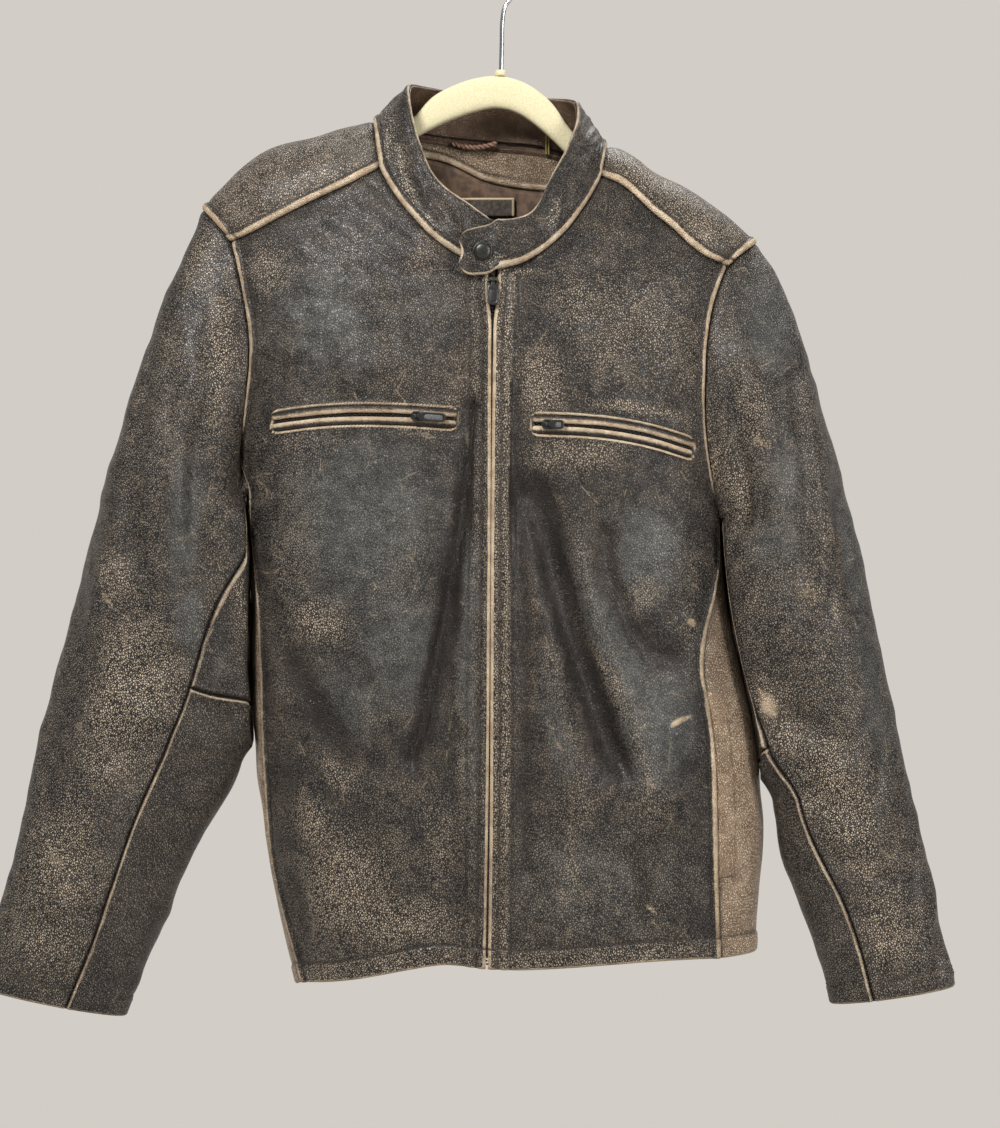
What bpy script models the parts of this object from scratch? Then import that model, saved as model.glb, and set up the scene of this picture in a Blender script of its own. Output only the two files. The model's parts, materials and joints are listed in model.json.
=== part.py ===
"""A worn leather jacket with a stand collar and a front zip, hanging on a flocked hanger.

Millimetres inside the functions, metres in the meshes. +Z is up, +X is to the right of someone who looks
at the front, and the front faces -Y. The origin is the inner crown of the hanger's hook. "right" and
"left" in a name are the wearer's, so right is at -X.

Each leather panel is a wall between two edges: its face is worked out as points on a grid, and its inner
face lies one leather's thickness behind. Panels that are sewn together share their points along the seam,
and each is then drawn back a little from its neighbour.
"""

import math

import bmesh
import bpy
import numpy as np
from mathutils import Matrix, Vector
from mathutils.bvhtree import BVHTree

MM = 0.001
LEATHER = 1.5
LINING = 0.8
SEAM_GAP = 0.27
LAY_GAP = 0.35

# Rows of the panels: from the hem up to the armpit, and from there up the armhole to the yoke.
ROWS_SIDE = 12
ROWS_ARMHOLE = 7
ROWS = ROWS_SIDE + ROWS_ARMHOLE
ROWS_ZIP = 13
FRONT_COLUMNS = 10
NECK_COLUMNS = 5
SIDE_COLUMNS = 5
YOKE_ANGLES = (0, 48, 79, 101, 132, 180)
COLLAR_ROWS = 3

# The body at heights: its two side edges, and its depth in front of and behind the hanger.
TORSO = np.array([
    # z, right, left, front, back
    (-830, -163, 202, 62, 42),
    (-790, -173, 203, 66, 44),
    (-740, -183, 206, 70, 45),
    (-700, -190, 208, 74, 46),
    (-655, -196, 205, 78, 48),
    (-610, -199, 199, 82, 49),
    (-570, -200, 189, 84, 50),
    (-520, -200, 180, 86, 50),
    (-460, -202, 175, 87, 50),
    (-400, -211, 176, 86, 49),
    (-340, -214, 178, 84, 48),
    (-290, -218, 184, 81, 46),
    (-250, -228, 196, 78, 44),
    (-200, -242, 214, 74, 42),
], float)
SQUARENESS = 2.6

# The top of the shoulders from one side to the other; between the two neck points it is only a guide.
RIDGE = np.array([
    # x, z
    (-239, -207), (-227, -194), (-212, -178), (-197, -165), (-181, -157), (-150, -150), (-127, -143),
    (-102, -137), (-50, -118), (-10, -112), (40, -124), (83, -157), (94, -159), (107, -166), (122, -178),
    (146, -190), (168, -204), (183, -215), (197, -228), (203, -234),
], float)
FRONT_SLOPE = 220
BACK_SLOPE = 120

ZIP_LINE = np.array([(-807, -12), (-674, -10), (-519, -9), (-364, -8), (-262, -7)], float)
ZIP_HALF = 3.4

# Seams in the front view, as x, z. The right side is the wearer's.
SIDE_SEAM = {
    "right": np.array([(-158, -822), (-167, -790), (-176, -756), (-183, -716), (-188, -645), (-190, -580),
                       (-193, -516), (-197, -477), (-199, -433)], float),
    "left": np.array([(171, -801), (169, -741), (168, -686), (166, -640), (161, -600), (157, -576),
                      (160, -544), (167, -517), (171, -490), (171, -452)], float),
}
SIDE_SEAM_BACK = {
    "right": np.array([(-146, -819), (-160, -756), (-168, -680), (-172, -600), (-176, -520), (-186, -470),
                       (-198, -433)], float),
    "left": np.array([(176, -803), (178, -740), (178, -680), (172, -610), (163, -560), (160, -510),
                      (170, -452)], float),
}
ARMPIT = {"right": (-203, -442), "left": (175, -461)}
ARMHOLE = {
    "right": np.array([(-199, -433), (-207, -405), (-204, -384), (-200, -352), (-198, -319), (-204, -276),
                       (-209, -254), (-214, -235)], float),
    "left": np.array([(171, -452), (164, -420), (159, -383), (159, -342), (161, -313), (165, -290),
                      (172, -268), (178, -254)], float),
}
ARMHOLE_BACK = {
    "right": np.array([(-198, -433), (-196, -400), (-192, -365), (-190, -325), (-193, -290), (-199, -260),
                       (-206, -236)], float),
    "left": np.array([(170, -452), (160, -420), (154, -383), (152, -342), (155, -310), (162, -285),
                      (172, -262)], float),
}
NECKLINE = {
    "right": np.array([(-10.4, -262), (-33, -251), (-55, -235), (-68, -221), (-81, -205), (-94, -183),
                       (-96, -178)], float),
    "left": np.array([(-3.6, -262), (15, -257), (34, -245), (49, -231), (63, -212), (75, -191),
                      (78, -184)], float),
}
YOKE_SEAM = {
    "right": np.array([(-96, -178), (-118, -190), (-148, -204), (-178, -219), (-200, -230),
                       (-214, -235)], float),
    "left": np.array([(78, -184), (94, -191), (120, -214), (135, -226), (150, -240), (162, -248),
                      (178, -254)], float),
}
YOKE_RIDGE = {"right": (-102, -239), "left": (83, 203)}
YOKE_SEAM_BACK = {
    "right": np.array([(-86, -146), (-120, -172), (-160, -200), (-206, -236)], float),
    "left": np.array([(70, -169), (100, -196), (136, -226), (172, -262)], float),
}
BACK_NECK = np.array([(-86, -146), (-60, -149), (-34, -152), (-2, -155), (30, -158), (70, -169)], float)
HEM = {
    "right": np.array([(-15.4, -807), (-47, -804), (-73, -808), (-92, -812), (-111, -816), (-130, -819),
                       (-158, -822)], float),
    "left": np.array([(-8.6, -807), (13, -808), (42, -807), (87, -804), (117, -802), (147, -801),
                      (171, -801)], float),
}
HEM_BACK = np.array([(-146, -819), (-80, -815), (0, -810), (90, -806), (176, -803)], float)
HEM_SIDE = {"right": -826, "left": -799}

# Folds of the two fronts and of the back: a soft trough (or a ridge, where it stands out) between two ends.
FOLDS_FRONT = np.array([
    # x0, z0, x1, z1, half width, stands out
    (-22, -370, -31, -462, 13, -5),
    (-31, -462, -75, -656, 17, -8),
    (-38, -500, -35, -780, 8, -3.5),
    (-175, -545, -121, -650, 14, -5),
    (-87, -524, -114, -559, 14, -3),
    (-100, -660, -140, -790, 22, -4),
    (12, -345, 18, -545, 8, -4),
    (18, -545, 18, -740, 8, -3.5),
    (25, -435, 66, -573, 19, -9),
    (66, -573, 106, -665, 18, -8),
    (57, -485, 88, -587, 12, 5),
    (88, -587, 130, -705, 15, 6),
    (80, -450, 76, -495, 12, -4),
    (76, -495, 112, -560, 13, -5),
    (112, -560, 150, -574, 12, -4),
], float)
FOLDS_BACK = np.array([
    (-120, -330, -60, -470, 24, -5),
    (-60, -470, -48, -660, 26, -6),
    (110, -350, 60, -500, 24, -5),
    (60, -500, 70, -700, 24, -6),
    (-140, -600, -100, -760, 22, -4),
    (5, -260, 0, -420, 30, 4),
], float)

# Sleeves at their rings: the outer and the inner edge, then the axis and the depth before and behind it,
# and where the seams towards the body lie, in degrees round from the outer edge.
SLEEVE = {
    "right": np.array([
        # outer x, z, inner x, z, axis y, front, back, seam
        (-239, -207, -203, -442, 0, 42, 26, 165),
        (-255, -245, -203, -450, -5, 46, 32, 158),
        (-272, -290, -203.5, -462, -8, 52, 38, 150),
        (-287, -335, -204, -480, -10, 55, 41, 143),
        (-302, -380, -204, -502, -12, 56, 42, 137),
        (-317, -430, -204, -529, -14, 54, 42, 130),
        (-331, -490, -204, -562, -16, 50, 40, 124),
        (-346, -548, -204, -603, -18, 46, 38, 116),
        (-361, -604, -208, -652, -20, 42, 36, 107),
        (-374, -665, -238, -707, -22, 38, 34, 106),
        (-386, -720, -260, -758, -24, 35, 31, 106),
        (-399, -768, -278, -799, -26, 31, 28, 107),
        (-413, -825, -298, -848, -28, 28, 25, 104),
    ], float),
    "left": np.array([
        (203, -234, 175, -461, 0, 44, 26, 165),
        (217, -260, 176, -470, -6, 50, 32, 160),
        (233, -294, 178, -484, -10, 54, 38, 157),
        (244, -332, 180, -506, -13, 56, 41, 154),
        (257, -375, 185, -532, -15, 56, 42, 152),
        (270, -425, 192, -566, -17, 54, 42, 150),
        (283, -480, 203, -604, -19, 50, 40, 146),
        (296, -538, 212, -648, -21, 46, 38, 140),
        (308, -596, 216, -690, -23, 42, 36, 132),
        (320, -654, 224, -731, -25, 38, 34, 124),
        (332, -708, 237, -768, -27, 34, 31, 115),
        (344, -762, 249, -800, -29, 30, 28, 112),
        (357, -824, 260, -838, -31, 26, 24, 111),
    ], float),
}
SLEEVE_RINGS = 12
ELBOW_RING = 7
ARMHOLE_REACH = 3.2
SLEEVE_CLEAR = 2.2

# Folds of the sleeves, along the rings and round from the outer edge in degrees, front positive.
FOLDS_SLEEVE = {
    "right": np.array([
        # ring0, degrees0, ring1, degrees1, half width, stands out
        (1.5, 75, 4.5, 105, 13, -6),
        (1.2, 45, 4.0, 80, 12, 4),
        (6.2, 130, 7.6, 80, 12, -4),
        (7.8, 140, 8.6, 85, 11, -4),
        (2.0, -60, 5.0, -110, 16, -5),
        (6.5, -130, 8.0, -70, 14, -5),
    ], float),
    "left": np.array([
        (1.4, 100, 3.6, 140, 13, -5),
        (0.8, 60, 4.2, 95, 14, 4),
        (6.8, 140, 8.2, 85, 12, -5),
        (8.4, 130, 9.6, 70, 13, -4),
        (2.0, -60, 5.0, -115, 16, -5),
        (6.5, -125, 8.2, -70, 14, -5),
    ], float),
}

# The collar's top edge: its height by the angle round the neck, 0 at the front and negative on the right.
COLLAR_TOP = np.array([
    (-180, -113), (-120, -107), (-98, -109), (-86, -116), (-76, -128), (-66, -147), (-57, -163), (-47, -181),
    (-38, -192), (-17, -209), (0, -222), (17, -221), (27, -215), (34, -205), (41, -190), (50, -176),
    (68, -153), (84, -136), (96, -124), (112, -119), (180, -113),
], float)
NECK_CENTRE = (-9, -20)
NECK_REACH = (92, 55)
COLLAR_CENTRE = (-7, -15)
COLLAR_REACH = (67, 48)
COLLAR_SWELL = 2.5
TAB = np.array([
    # x, bottom z, top z
    (-10, -266, -227), (-18, -267, -230), (-25, -266, -232), (-29.5, -263, -236), (-31.5, -257, -243),
], float)
TAB_LIFT = 6.4
TAB_LEAN = 1.5

# Chest pockets: the middle line of the zip opening, and half its height.
CHEST_POCKET = {
    "right": np.array([(-178, -380.5), (-146, -377), (-113, -375.5), (-75, -376.5), (-37, -379)], float),
    "left": np.array([(25, -383), (55, -384), (85, -386.5), (116, -392), (148, -401)], float),
}
POCKET_HALF = 7.8
POCKET_COLUMNS = 10
POCKET_SLIDER = {"right": 0.785, "left": 0.07}
POCKET_PULL = {"right": 24.0, "left": 14.0}
HAND_POCKET = {"right": (-655, -745), "left": (-590, -738)}

# Inside the neck: the facing's lower and upper edge, then the corners of the loop, the tab and the patch.
FACING_EDGE = np.array([(-76, -160), (-45, -166), (-14, -180), (20, -187), (45, -188), (60, -184)], float)
FACING_TOP = np.array([(-76, -150), (-60, -152), (-34, -155.5), (-2, -158.5), (30, -162), (60, -170)], float)
LOOP = np.array([(-40, -149), (-5, -152), (-40, -156), (-5, -158)], float)
NECK_TAB = np.array([(35, -143), (38.5, -143), (35, -160), (38.5, -160)], float)
LABEL = np.array([(-36, -194), (10, -195), (-35, -209), (10, -210)], float)

# Zips and the snap: a slider's pin stands this far out of its seat, and the tab swings on it.
PIN_OUT = 5.0
PIN_RADIUS = 0.6
ZIP_PULL_SIZE = (8.6, 20.0)
SNAP = (7.6, 3.4, -15.0, -249.0)

# The hanger from tip to tip: its top and bottom edge in the front view, and half its thickness.
HANGER = np.array([
    # x, top z, bottom z, half thickness
    (-203, -175, -183, 3.5), (-192, -166, -178, 4.5), (-150, -153.4, -170, 5), (-122, -145.5, -166, 5),
    (-100, -140.5, -162, 5.5), (-84, -139, -158, 6), (-70, -133, -151, 6), (-57, -119, -144, 6),
    (-42, -110, -137, 6), (-22, -103, -130, 6), (-5, -101, -127, 6), (12, -104, -131, 6), (26, -111, -140, 6),
    (41, -124, -153, 6), (52, -140, -164, 6), (66, -155, -176, 6), (84, -161.5, -181, 5.5),
    (107, -170, -188, 5), (122, -181.8, -198, 5), (146, -194.5, -210, 5), (180, -217.5, -229, 4.5),
    (193, -229, -236, 3.5),
], float)
ZIP_SLIDER = (-7.0, -272.0)
HOOK_WIRE = 1.8
HOOK_RADIUS = 19.8

LEATHER_COLOUR = (0.075, 0.064, 0.055)
LEATHER_PALE = (0.16, 0.125, 0.095)
LINING_COLOUR = (0.09, 0.062, 0.045)
IVORY = (0.86, 0.79, 0.58)
STEEL = (0.62, 0.62, 0.62)
BLACK_METAL = (0.03, 0.03, 0.032)
GUNMETAL = (0.09, 0.09, 0.092)
TAPE_COLOUR = (0.03, 0.026, 0.024)
BRASS = (0.42, 0.33, 0.13)


def smooth(rows, at, key=0, value=1):
    """A curve through the rows: cubics whose slope at a row is the mean of the chords on either side."""
    order = np.argsort(rows[:, key])
    x = rows[order, key]
    y = rows[order, value]
    at = np.clip(at, x[0], x[-1])
    chord = np.diff(y) / np.diff(x)
    slope = np.concatenate([chord[:1], (chord[:-1] + chord[1:]) / 2, chord[-1:]])
    i = np.clip(np.searchsorted(x, at, side="right") - 1, 0, len(x) - 2)
    step = x[i + 1] - x[i]
    t = (at - x[i]) / step
    rise = 3 * t**2 - 2 * t**3
    first = t**3 - 2 * t**2 + t
    last = t**3 - t**2
    return y[i] * (1 - rise) + y[i + 1] * rise + step * (first * slope[i] + last * slope[i + 1])


def along(rows, t):
    """Points at the fractions t of the length of a line through the rows, each row's columns kept."""
    length = np.concatenate([[0], np.cumsum(np.hypot(*np.diff(rows[:, :2], axis=0).T))])
    track = np.column_stack([length / length[-1], rows])
    return np.stack([smooth(track, t, 0, 1 + k) for k in range(rows.shape[1])], axis=-1)


def fold_depth(x, z, folds):
    """How far the folds stand out at a place: each a soft bell across its line, dying away past its ends."""
    out = np.zeros(np.broadcast(x, z).shape)
    for x0, z0, x1, z1, half, height in folds:
        length = math.hypot(x1 - x0, z1 - z0)
        ux = (x1 - x0) / length
        uz = (z1 - z0) / length
        t = (x - x0) * ux + (z - z0) * uz
        beyond = np.maximum(0, np.maximum(-t, t - length))
        across = (x - x0) * uz - (z - z0) * ux
        out = out + height * np.exp(-((across / half) ** 2) - (beyond / (1.6 * half)) ** 2)
    return out


def section(x, z, depth_column, slope, folds):
    """Depth of the body at x, z: a squarish oval across, drawn in towards the top of the shoulders."""
    right = smooth(TORSO, z, 0, 1)
    left = smooth(TORSO, z, 0, 2)
    depth = smooth(TORSO, z, 0, depth_column)
    across = np.clip(np.abs(2 * x - left - right) / (left - right), 0, 1)
    oval = (1 - across**SQUARENESS) ** (1 / SQUARENESS)
    up = np.clip(1 - (smooth(RIDGE, x) - z) / slope, 0, 1)
    return (depth + fold_depth(x, z, folds)) * oval * np.sqrt(1 - up**2)


def front_y(x, z):
    return -section(x, z, 3, FRONT_SLOPE, FOLDS_FRONT)


def back_y(x, z):
    return section(x, z, 4, BACK_SLOPE, FOLDS_BACK)


def front_points(xz):
    return np.stack([xz[..., 0], front_y(xz[..., 0], xz[..., 1]), xz[..., 1]], axis=-1)


def back_points(xz):
    return np.stack([xz[..., 0], back_y(xz[..., 0], xz[..., 1]), xz[..., 1]], axis=-1)


def side_edge(seam, armhole, v):
    """x, z of a panel's outer edge at the rows v: up the side seam, then up the armhole."""
    v = np.asarray(v, float)[:, None]
    low = along(seam, np.clip(v[:, 0] / ROWS_SIDE, 0, 1))
    high = along(armhole, np.clip((v[:, 0] - ROWS_SIDE) / ROWS_ARMHOLE, 0, 1))
    return np.where(v <= ROWS_SIDE, low, high)


def zip_edge(side, v):
    """x, z of a front's inner edge at the rows v: up beside the zip, then along the neckline."""
    v = np.asarray(v, float)[:, None]
    away = -ZIP_HALF if side == "right" else ZIP_HALF
    z = HEM[side][0, 1] + (NECKLINE[side][0, 1] - HEM[side][0, 1]) * np.clip(v[:, 0] / ROWS_ZIP, 0, 1)
    low = np.column_stack([smooth(ZIP_LINE, z) + away, z])
    high = along(NECKLINE[side], np.clip((v[:, 0] - ROWS_ZIP) / (ROWS - ROWS_ZIP), 0, 1))
    return np.where(v <= ROWS_ZIP, low, high)


def patch(inner, outer, bottom, top):
    """Fills four edges in the front view: straight rows between the sides, eased to fit hem and top."""
    u = np.linspace(0, 1, len(bottom))[None, :, None]
    w = np.linspace(0, 1, len(inner))[:, None, None]
    rows = (1 - u) * inner[:, None] + u * outer[:, None]
    hem = bottom[None] - (1 - u) * bottom[0] - u * bottom[-1]
    head = top[None] - (1 - u) * top[0] - u * top[-1]
    return rows + (1 - w) * hem + w * head


def front_grid(side, columns=FRONT_COLUMNS, rows=ROWS):
    v = np.linspace(0, ROWS, rows + 1)
    u = np.linspace(0, 1, columns + 1)
    inner = zip_edge(side, v)
    outer = side_edge(SIDE_SEAM[side], ARMHOLE[side], v)
    return front_points(patch(inner, outer, along(HEM[side], u), along(YOKE_SEAM[side], u)))


def back_grid():
    v = np.linspace(0, ROWS, ROWS + 1)
    right = side_edge(SIDE_SEAM_BACK["right"], ARMHOLE_BACK["right"], v)
    left = side_edge(SIDE_SEAM_BACK["left"], ARMHOLE_BACK["left"], v)
    u = np.linspace(0, 1, FRONT_COLUMNS + 1)
    n = np.linspace(0, 1, NECK_COLUMNS + 1)[1:-1]
    top = np.concatenate([
        along(YOKE_SEAM_BACK["right"], u)[::-1], along(BACK_NECK, n), along(YOKE_SEAM_BACK["left"], u)])
    return back_points(patch(right, left, along(HEM_BACK, np.linspace(0, 1, len(top))), top))


def yoke_grid(side):
    """From the front seam over the top of the shoulder to the back seam: two quarter ovals at each place."""
    u = np.linspace(0, 1, FRONT_COLUMNS + 1)
    front = front_points(along(YOKE_SEAM[side], u))
    back = back_points(along(YOKE_SEAM_BACK[side], u))
    x = np.linspace(*YOKE_RIDGE[side], len(u))
    top = np.column_stack([x, np.zeros_like(x), smooth(RIDGE, x)])
    rows = []
    for degrees in YOKE_ANGLES:
        foot = front if degrees <= 90 else back
        rise = math.sin(math.radians(degrees))
        lean = abs(math.cos(math.radians(degrees)))
        row = foot + (top - foot) * rise
        row[:, 1] = foot[:, 1] * lean
        rows.append(row)
    rows[0] = front
    rows[-1] = back
    return np.array(rows)


def side_grid(side):
    """From the front seam round the side to the back seam, on the body's own oval."""
    sign = -1 if side == "right" else 1
    edge = 1 if side == "right" else 2
    v = np.linspace(0, 1, ROWS_SIDE + 1)
    front = along(SIDE_SEAM[side], v)
    back = along(SIDE_SEAM_BACK[side], v)
    tips = np.array([HEM_SIDE[side], ARMPIT[side][1]])
    grid = np.empty((ROWS_SIDE + 1, SIDE_COLUMNS + 1, 3))
    for i, t in enumerate(v):
        ends = []
        for point, column in ((front[i], 3), (back[i], 4)):
            right, left, depth = (smooth(TORSO, point[1], 0, k) for k in (1, 2, column))
            reach = abs(2 * point[0] - left - right) / (left - right)
            ends.append(math.acos(min(1, reach) ** (SQUARENESS / 2)))
        turn = np.linspace(-ends[0], ends[1], SIDE_COLUMNS + 1)
        share = (turn - turn[0]) / (turn[-1] - turn[0])
        z = front[i, 1] * (1 - share) + back[i, 1] * share
        dip = tips[0] * (1 - t) + tips[1] * t - (front[i, 1] + back[i, 1]) / 2
        z = z + dip * np.sin(math.pi * share)
        middle = (smooth(TORSO, z, 0, 1) + smooth(TORSO, z, 0, 2)) / 2
        half = np.abs(smooth(TORSO, z, 0, edge) - middle)
        depth = np.where(turn < 0, smooth(TORSO, z, 0, 3), smooth(TORSO, z, 0, 4))
        grid[i, :, 0] = middle + sign * half * np.cos(turn) ** (2 / SQUARENESS)
        grid[i, :, 1] = np.sign(turn) * depth * np.abs(np.sin(turn)) ** (2 / SQUARENESS)
        grid[i, :, 2] = z
    grid[:, 0] = front_points(front)
    grid[:, -1] = back_points(back)
    return grid


def sleeve_edge(side):
    """The armhole as the sleeve meets it: up the front, over the yoke, down the back, and under the arm."""
    t = np.linspace(0, 1, ROWS_ARMHOLE + 1)
    front = front_points(along(ARMHOLE[side], t))
    back = back_points(along(ARMHOLE_BACK[side], t))
    yoke = yoke_grid(side)[:, -1]
    return np.concatenate([front, yoke[1:-1], back[::-1]]), side_grid(side)[-1]


def sleeve_ring(side, ring):
    rows = np.column_stack([np.arange(len(SLEEVE[side])), SLEEVE[side]])
    return [smooth(rows, ring, 0, 1 + k) for k in range(8)]


def sleeve_points(side, ring, turn):
    """Ovals between the outer and the inner edge. Each half has its own depth, and folds stand out of them."""
    x0, z0, x1, z1, axis, front, back, _ = sleeve_ring(side, ring)
    c, s = np.cos(turn), np.sin(turn)
    depth = np.where(s > 0, front, back)
    degrees = np.degrees(turn)
    degrees = np.where(degrees > 180, degrees - 360, degrees)
    step = 52.0
    round_mm = 1.05
    folds = FOLDS_SLEEVE[side].copy()
    folds[:, [0, 2]] *= step
    folds[:, [1, 3]] *= round_mm
    out = 1 + fold_depth(ring * step, degrees * round_mm, folds) / 60
    x = (x0 + x1) / 2 + (x0 - x1) / 2 * c * out
    z = (z0 + z1) / 2 + (z0 - z1) / 2 * c * out
    return np.stack([x, axis - depth * s * out, z], axis=-1)


def clear_of_body(side, points):
    """Moves what hangs beside the body outwards until it is clear of the body's edge."""
    out = points.copy()
    below = points[:, 2] < ARMPIT[side][1] + 6
    if side == "right":
        edge = smooth(TORSO, points[:, 2], 0, 1) - SLEEVE_CLEAR
        out[:, 0] = np.where(below, np.minimum(points[:, 0], edge), points[:, 0])
    else:
        edge = smooth(TORSO, points[:, 2], 0, 2) + SLEEVE_CLEAR
        out[:, 0] = np.where(below, np.maximum(points[:, 0], edge), points[:, 0])
    return out


def sleeve_grid(side, part):
    """Rings from the armhole to the cuff. The first is the armhole itself, and the next ones ease from it."""
    top, under = sleeve_edge(side)
    edge = top if part == "top" else under
    x0, z0, x1, z1, axis, front, back, _ = sleeve_ring(side, 0)
    half = math.hypot(x0 - x1, z0 - z1) / 2
    reach = ((edge[:, 0] - (x0 + x1) / 2) * (x0 - x1) + (edge[:, 2] - (z0 + z1) / 2) * (z0 - z1)) / half**2 / 2
    start = np.arctan2(-edge[:, 1] / np.where(edge[:, 1] < 0, front, back), reach)
    if part == "under":
        start = np.where(start < 0, start + 2 * math.pi, start)
    rings = np.arange(SLEEVE_RINGS + 1)
    grid = np.empty((len(rings), len(edge), 3))
    missing = edge - sleeve_points(side, np.zeros(len(edge)), start)
    for i, ring in enumerate(rings):
        seam = math.radians(float(sleeve_ring(side, ring)[7]))
        ends = (seam, -seam) if part == "top" else (seam, 2 * math.pi - seam)
        even = np.linspace(*ends, len(edge))
        ease = max(0.0, 1 - ring / ARMHOLE_REACH) ** 1.5
        turn = even * (1 - ease) + start * ease
        grid[i] = sleeve_points(side, np.full(len(edge), float(ring)), turn) + missing * ease
        grid[i] = clear_of_body(side, grid[i])
    grid[0] = edge
    return grid


def neck_edge(panels):
    """The neck seam from the right front's zip round the back to the left front's zip."""
    back = panels["back"][-1][FRONT_COLUMNS:FRONT_COLUMNS + NECK_COLUMNS + 1]
    return np.concatenate([
        panels["front_right"][ROWS_ZIP:, 0],
        panels["yoke_right"][1:-1, 0],
        back,
        panels["yoke_left"][1:-1, 0][::-1],
        panels["front_left"][ROWS_ZIP:, 0][::-1],
    ])


def collar_grid(panels):
    """A band from the neck seam to the top edge, swelling a little, with a tab that laps over at the front."""
    foot = neck_edge(panels)
    cx, cy = NECK_CENTRE
    angle = np.arctan2((foot[:, 0] - cx) / NECK_REACH[0], -(foot[:, 1] - cy) / NECK_REACH[1])
    top = np.column_stack([
        COLLAR_CENTRE[0] + COLLAR_REACH[0] * np.sin(angle),
        COLLAR_CENTRE[1] - COLLAR_REACH[1] * np.cos(angle),
        smooth(COLLAR_TOP, np.degrees(angle)),
    ])
    lift = np.zeros(len(foot))
    lift[-2:] = (TAB_LIFT * 0.55, TAB_LIFT)
    foot = foot - np.column_stack([0 * lift, lift, 0 * lift])
    top = top - np.column_stack([0 * lift, lift * TAB_LEAN, 0 * lift])
    front = float(foot[-1, 1])
    back = float(top[-1, 1])
    tab_foot = np.column_stack([TAB[:, 0], np.full(len(TAB), front), TAB[:, 1]])
    tab_top = np.column_stack([TAB[:, 0], np.full(len(TAB), back), TAB[:, 2]])
    height = (TAB[:, 2] - TAB[:, 1]) / (TAB[0, 2] - TAB[0, 1])
    middle = (front + back) / 2
    tab_foot[:, 1] = middle + (front - middle) * height
    tab_top[:, 1] = middle + (back - middle) * height
    foot = np.concatenate([foot, tab_foot])
    top = np.concatenate([top, tab_top])
    t = np.linspace(0, 1, COLLAR_ROWS + 1)[:, None, None]
    grid = foot[None] * (1 - t) + top[None] * t
    away = np.column_stack([np.sin(angle) * 1.0, -np.cos(angle), 0 * angle])
    away = np.concatenate([away, np.tile((0.0, -1.0, 0.0), (len(TAB), 1))])
    return grid + COLLAR_SWELL * np.sin(math.pi * t) * away[None]


def grid_normals(grid, hint):
    """Unit normals of a grid of points, on the side that the hint, a vector or one for each point, is on."""
    down = np.gradient(grid, axis=0)
    across = np.gradient(grid, axis=1)
    normal = np.cross(down, across)
    normal /= np.maximum(np.linalg.norm(normal, axis=-1, keepdims=True), 1e-9)
    return normal * np.sign((normal * hint).sum(axis=-1).mean() or 1)


def border(grid):
    """The grid's border points, as indices, each with the unit direction that leads into the panel."""
    rows, columns = grid.shape[:2]
    found = {}
    for i in range(rows):
        for j in range(columns):
            if 0 < i < rows - 1 and 0 < j < columns - 1:
                continue
            inward = np.zeros(3)
            if i in (0, rows - 1):
                step = grid[1 if i == 0 else rows - 2, j] - grid[i, j]
                inward += step / max(np.linalg.norm(step), 1e-9)
            if j in (0, columns - 1):
                step = grid[i, 1 if j == 0 else columns - 2] - grid[i, j]
                inward += step / max(np.linalg.norm(step), 1e-9)
            found[i, j] = inward / max(np.linalg.norm(inward), 1e-9)
    return found


def sew(panels, hints):
    """Gives neighbours one normal along their seam, and draws each back from it by half of the gap."""
    normals = {name: grid_normals(grid, hints[name]) for name, grid in panels.items()}
    entries = [(name, key, inward) for name, grid in panels.items() for key, inward in border(grid).items()]
    places = np.array([panels[name][key] for name, key, _ in entries])
    moved = {name: grid.copy() for name, grid in panels.items()}
    shared = {name: values.copy() for name, values in normals.items()}
    for index, (name, key, inward) in enumerate(entries):
        near = np.flatnonzero(np.abs(places - places[index]).max(axis=1) < 0.02)
        if len(near) < 2:
            continue
        total = sum(normals[entries[n][0]][entries[n][1]] for n in near)
        length = np.linalg.norm(total)
        others = np.mean([entries[n][2] for n in near if n != index], axis=0)
        away = inward - others
        away /= max(np.linalg.norm(away), 1e-9)
        if length > 0.25:
            shared[name][key] = total / length
        else:
            both = inward + others
            both *= np.sign(both @ total) or 1
            shared[name][key] = both / max(np.linalg.norm(both), 1e-9)
        moved[name][key] = panels[name][key] + SEAM_GAP * (1 if len(near) == 2 else 3) * away
    return moved, shared


def wall(grid, normals, thickness, behind=0.0):
    """A closed wall from a grid: its face, the face a thickness behind, and a rim. Points and triangles."""
    rows, columns = grid.shape[:2]
    face = grid - normals * behind
    back = grid - normals * (behind + thickness)
    points = np.concatenate([face.reshape(-1, 3), back.reshape(-1, 3)])
    n = rows * columns
    at = np.arange(n).reshape(rows, columns)
    a, b, c, d = at[:-1, :-1], at[:-1, 1:], at[1:, 1:], at[1:, :-1]
    front = np.concatenate([np.stack([a, b, c], -1).reshape(-1, 3), np.stack([a, c, d], -1).reshape(-1, 3)])
    middle = (rows // 2, columns // 2)
    turned = np.cross(
        grid[middle[0], middle[1]] - grid[middle[0] - 1, middle[1]],
        grid[middle[0], middle[1]] - grid[middle[0], middle[1] - 1])
    if np.dot(turned, normals[middle]) > 0:
        front = front[:, ::-1]
    rim = np.concatenate([at[0, :-1], at[:-1, -1], at[-1, :0:-1], at[:0:-1, 0]])
    ahead = np.roll(rim, -1)
    sides = np.concatenate([np.stack([rim, ahead, rim + n], -1), np.stack([ahead, ahead + n, rim + n], -1)])
    first = front[(front == rim[0]).any(1) & (front == ahead[0]).any(1)][0].tolist()
    forward = (first.index(ahead[0]) - first.index(rim[0])) % 3 == 1
    if forward:
        sides = sides[:, ::-1]
    return points, np.concatenate([front, front[:, ::-1] + n, sides])


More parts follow.
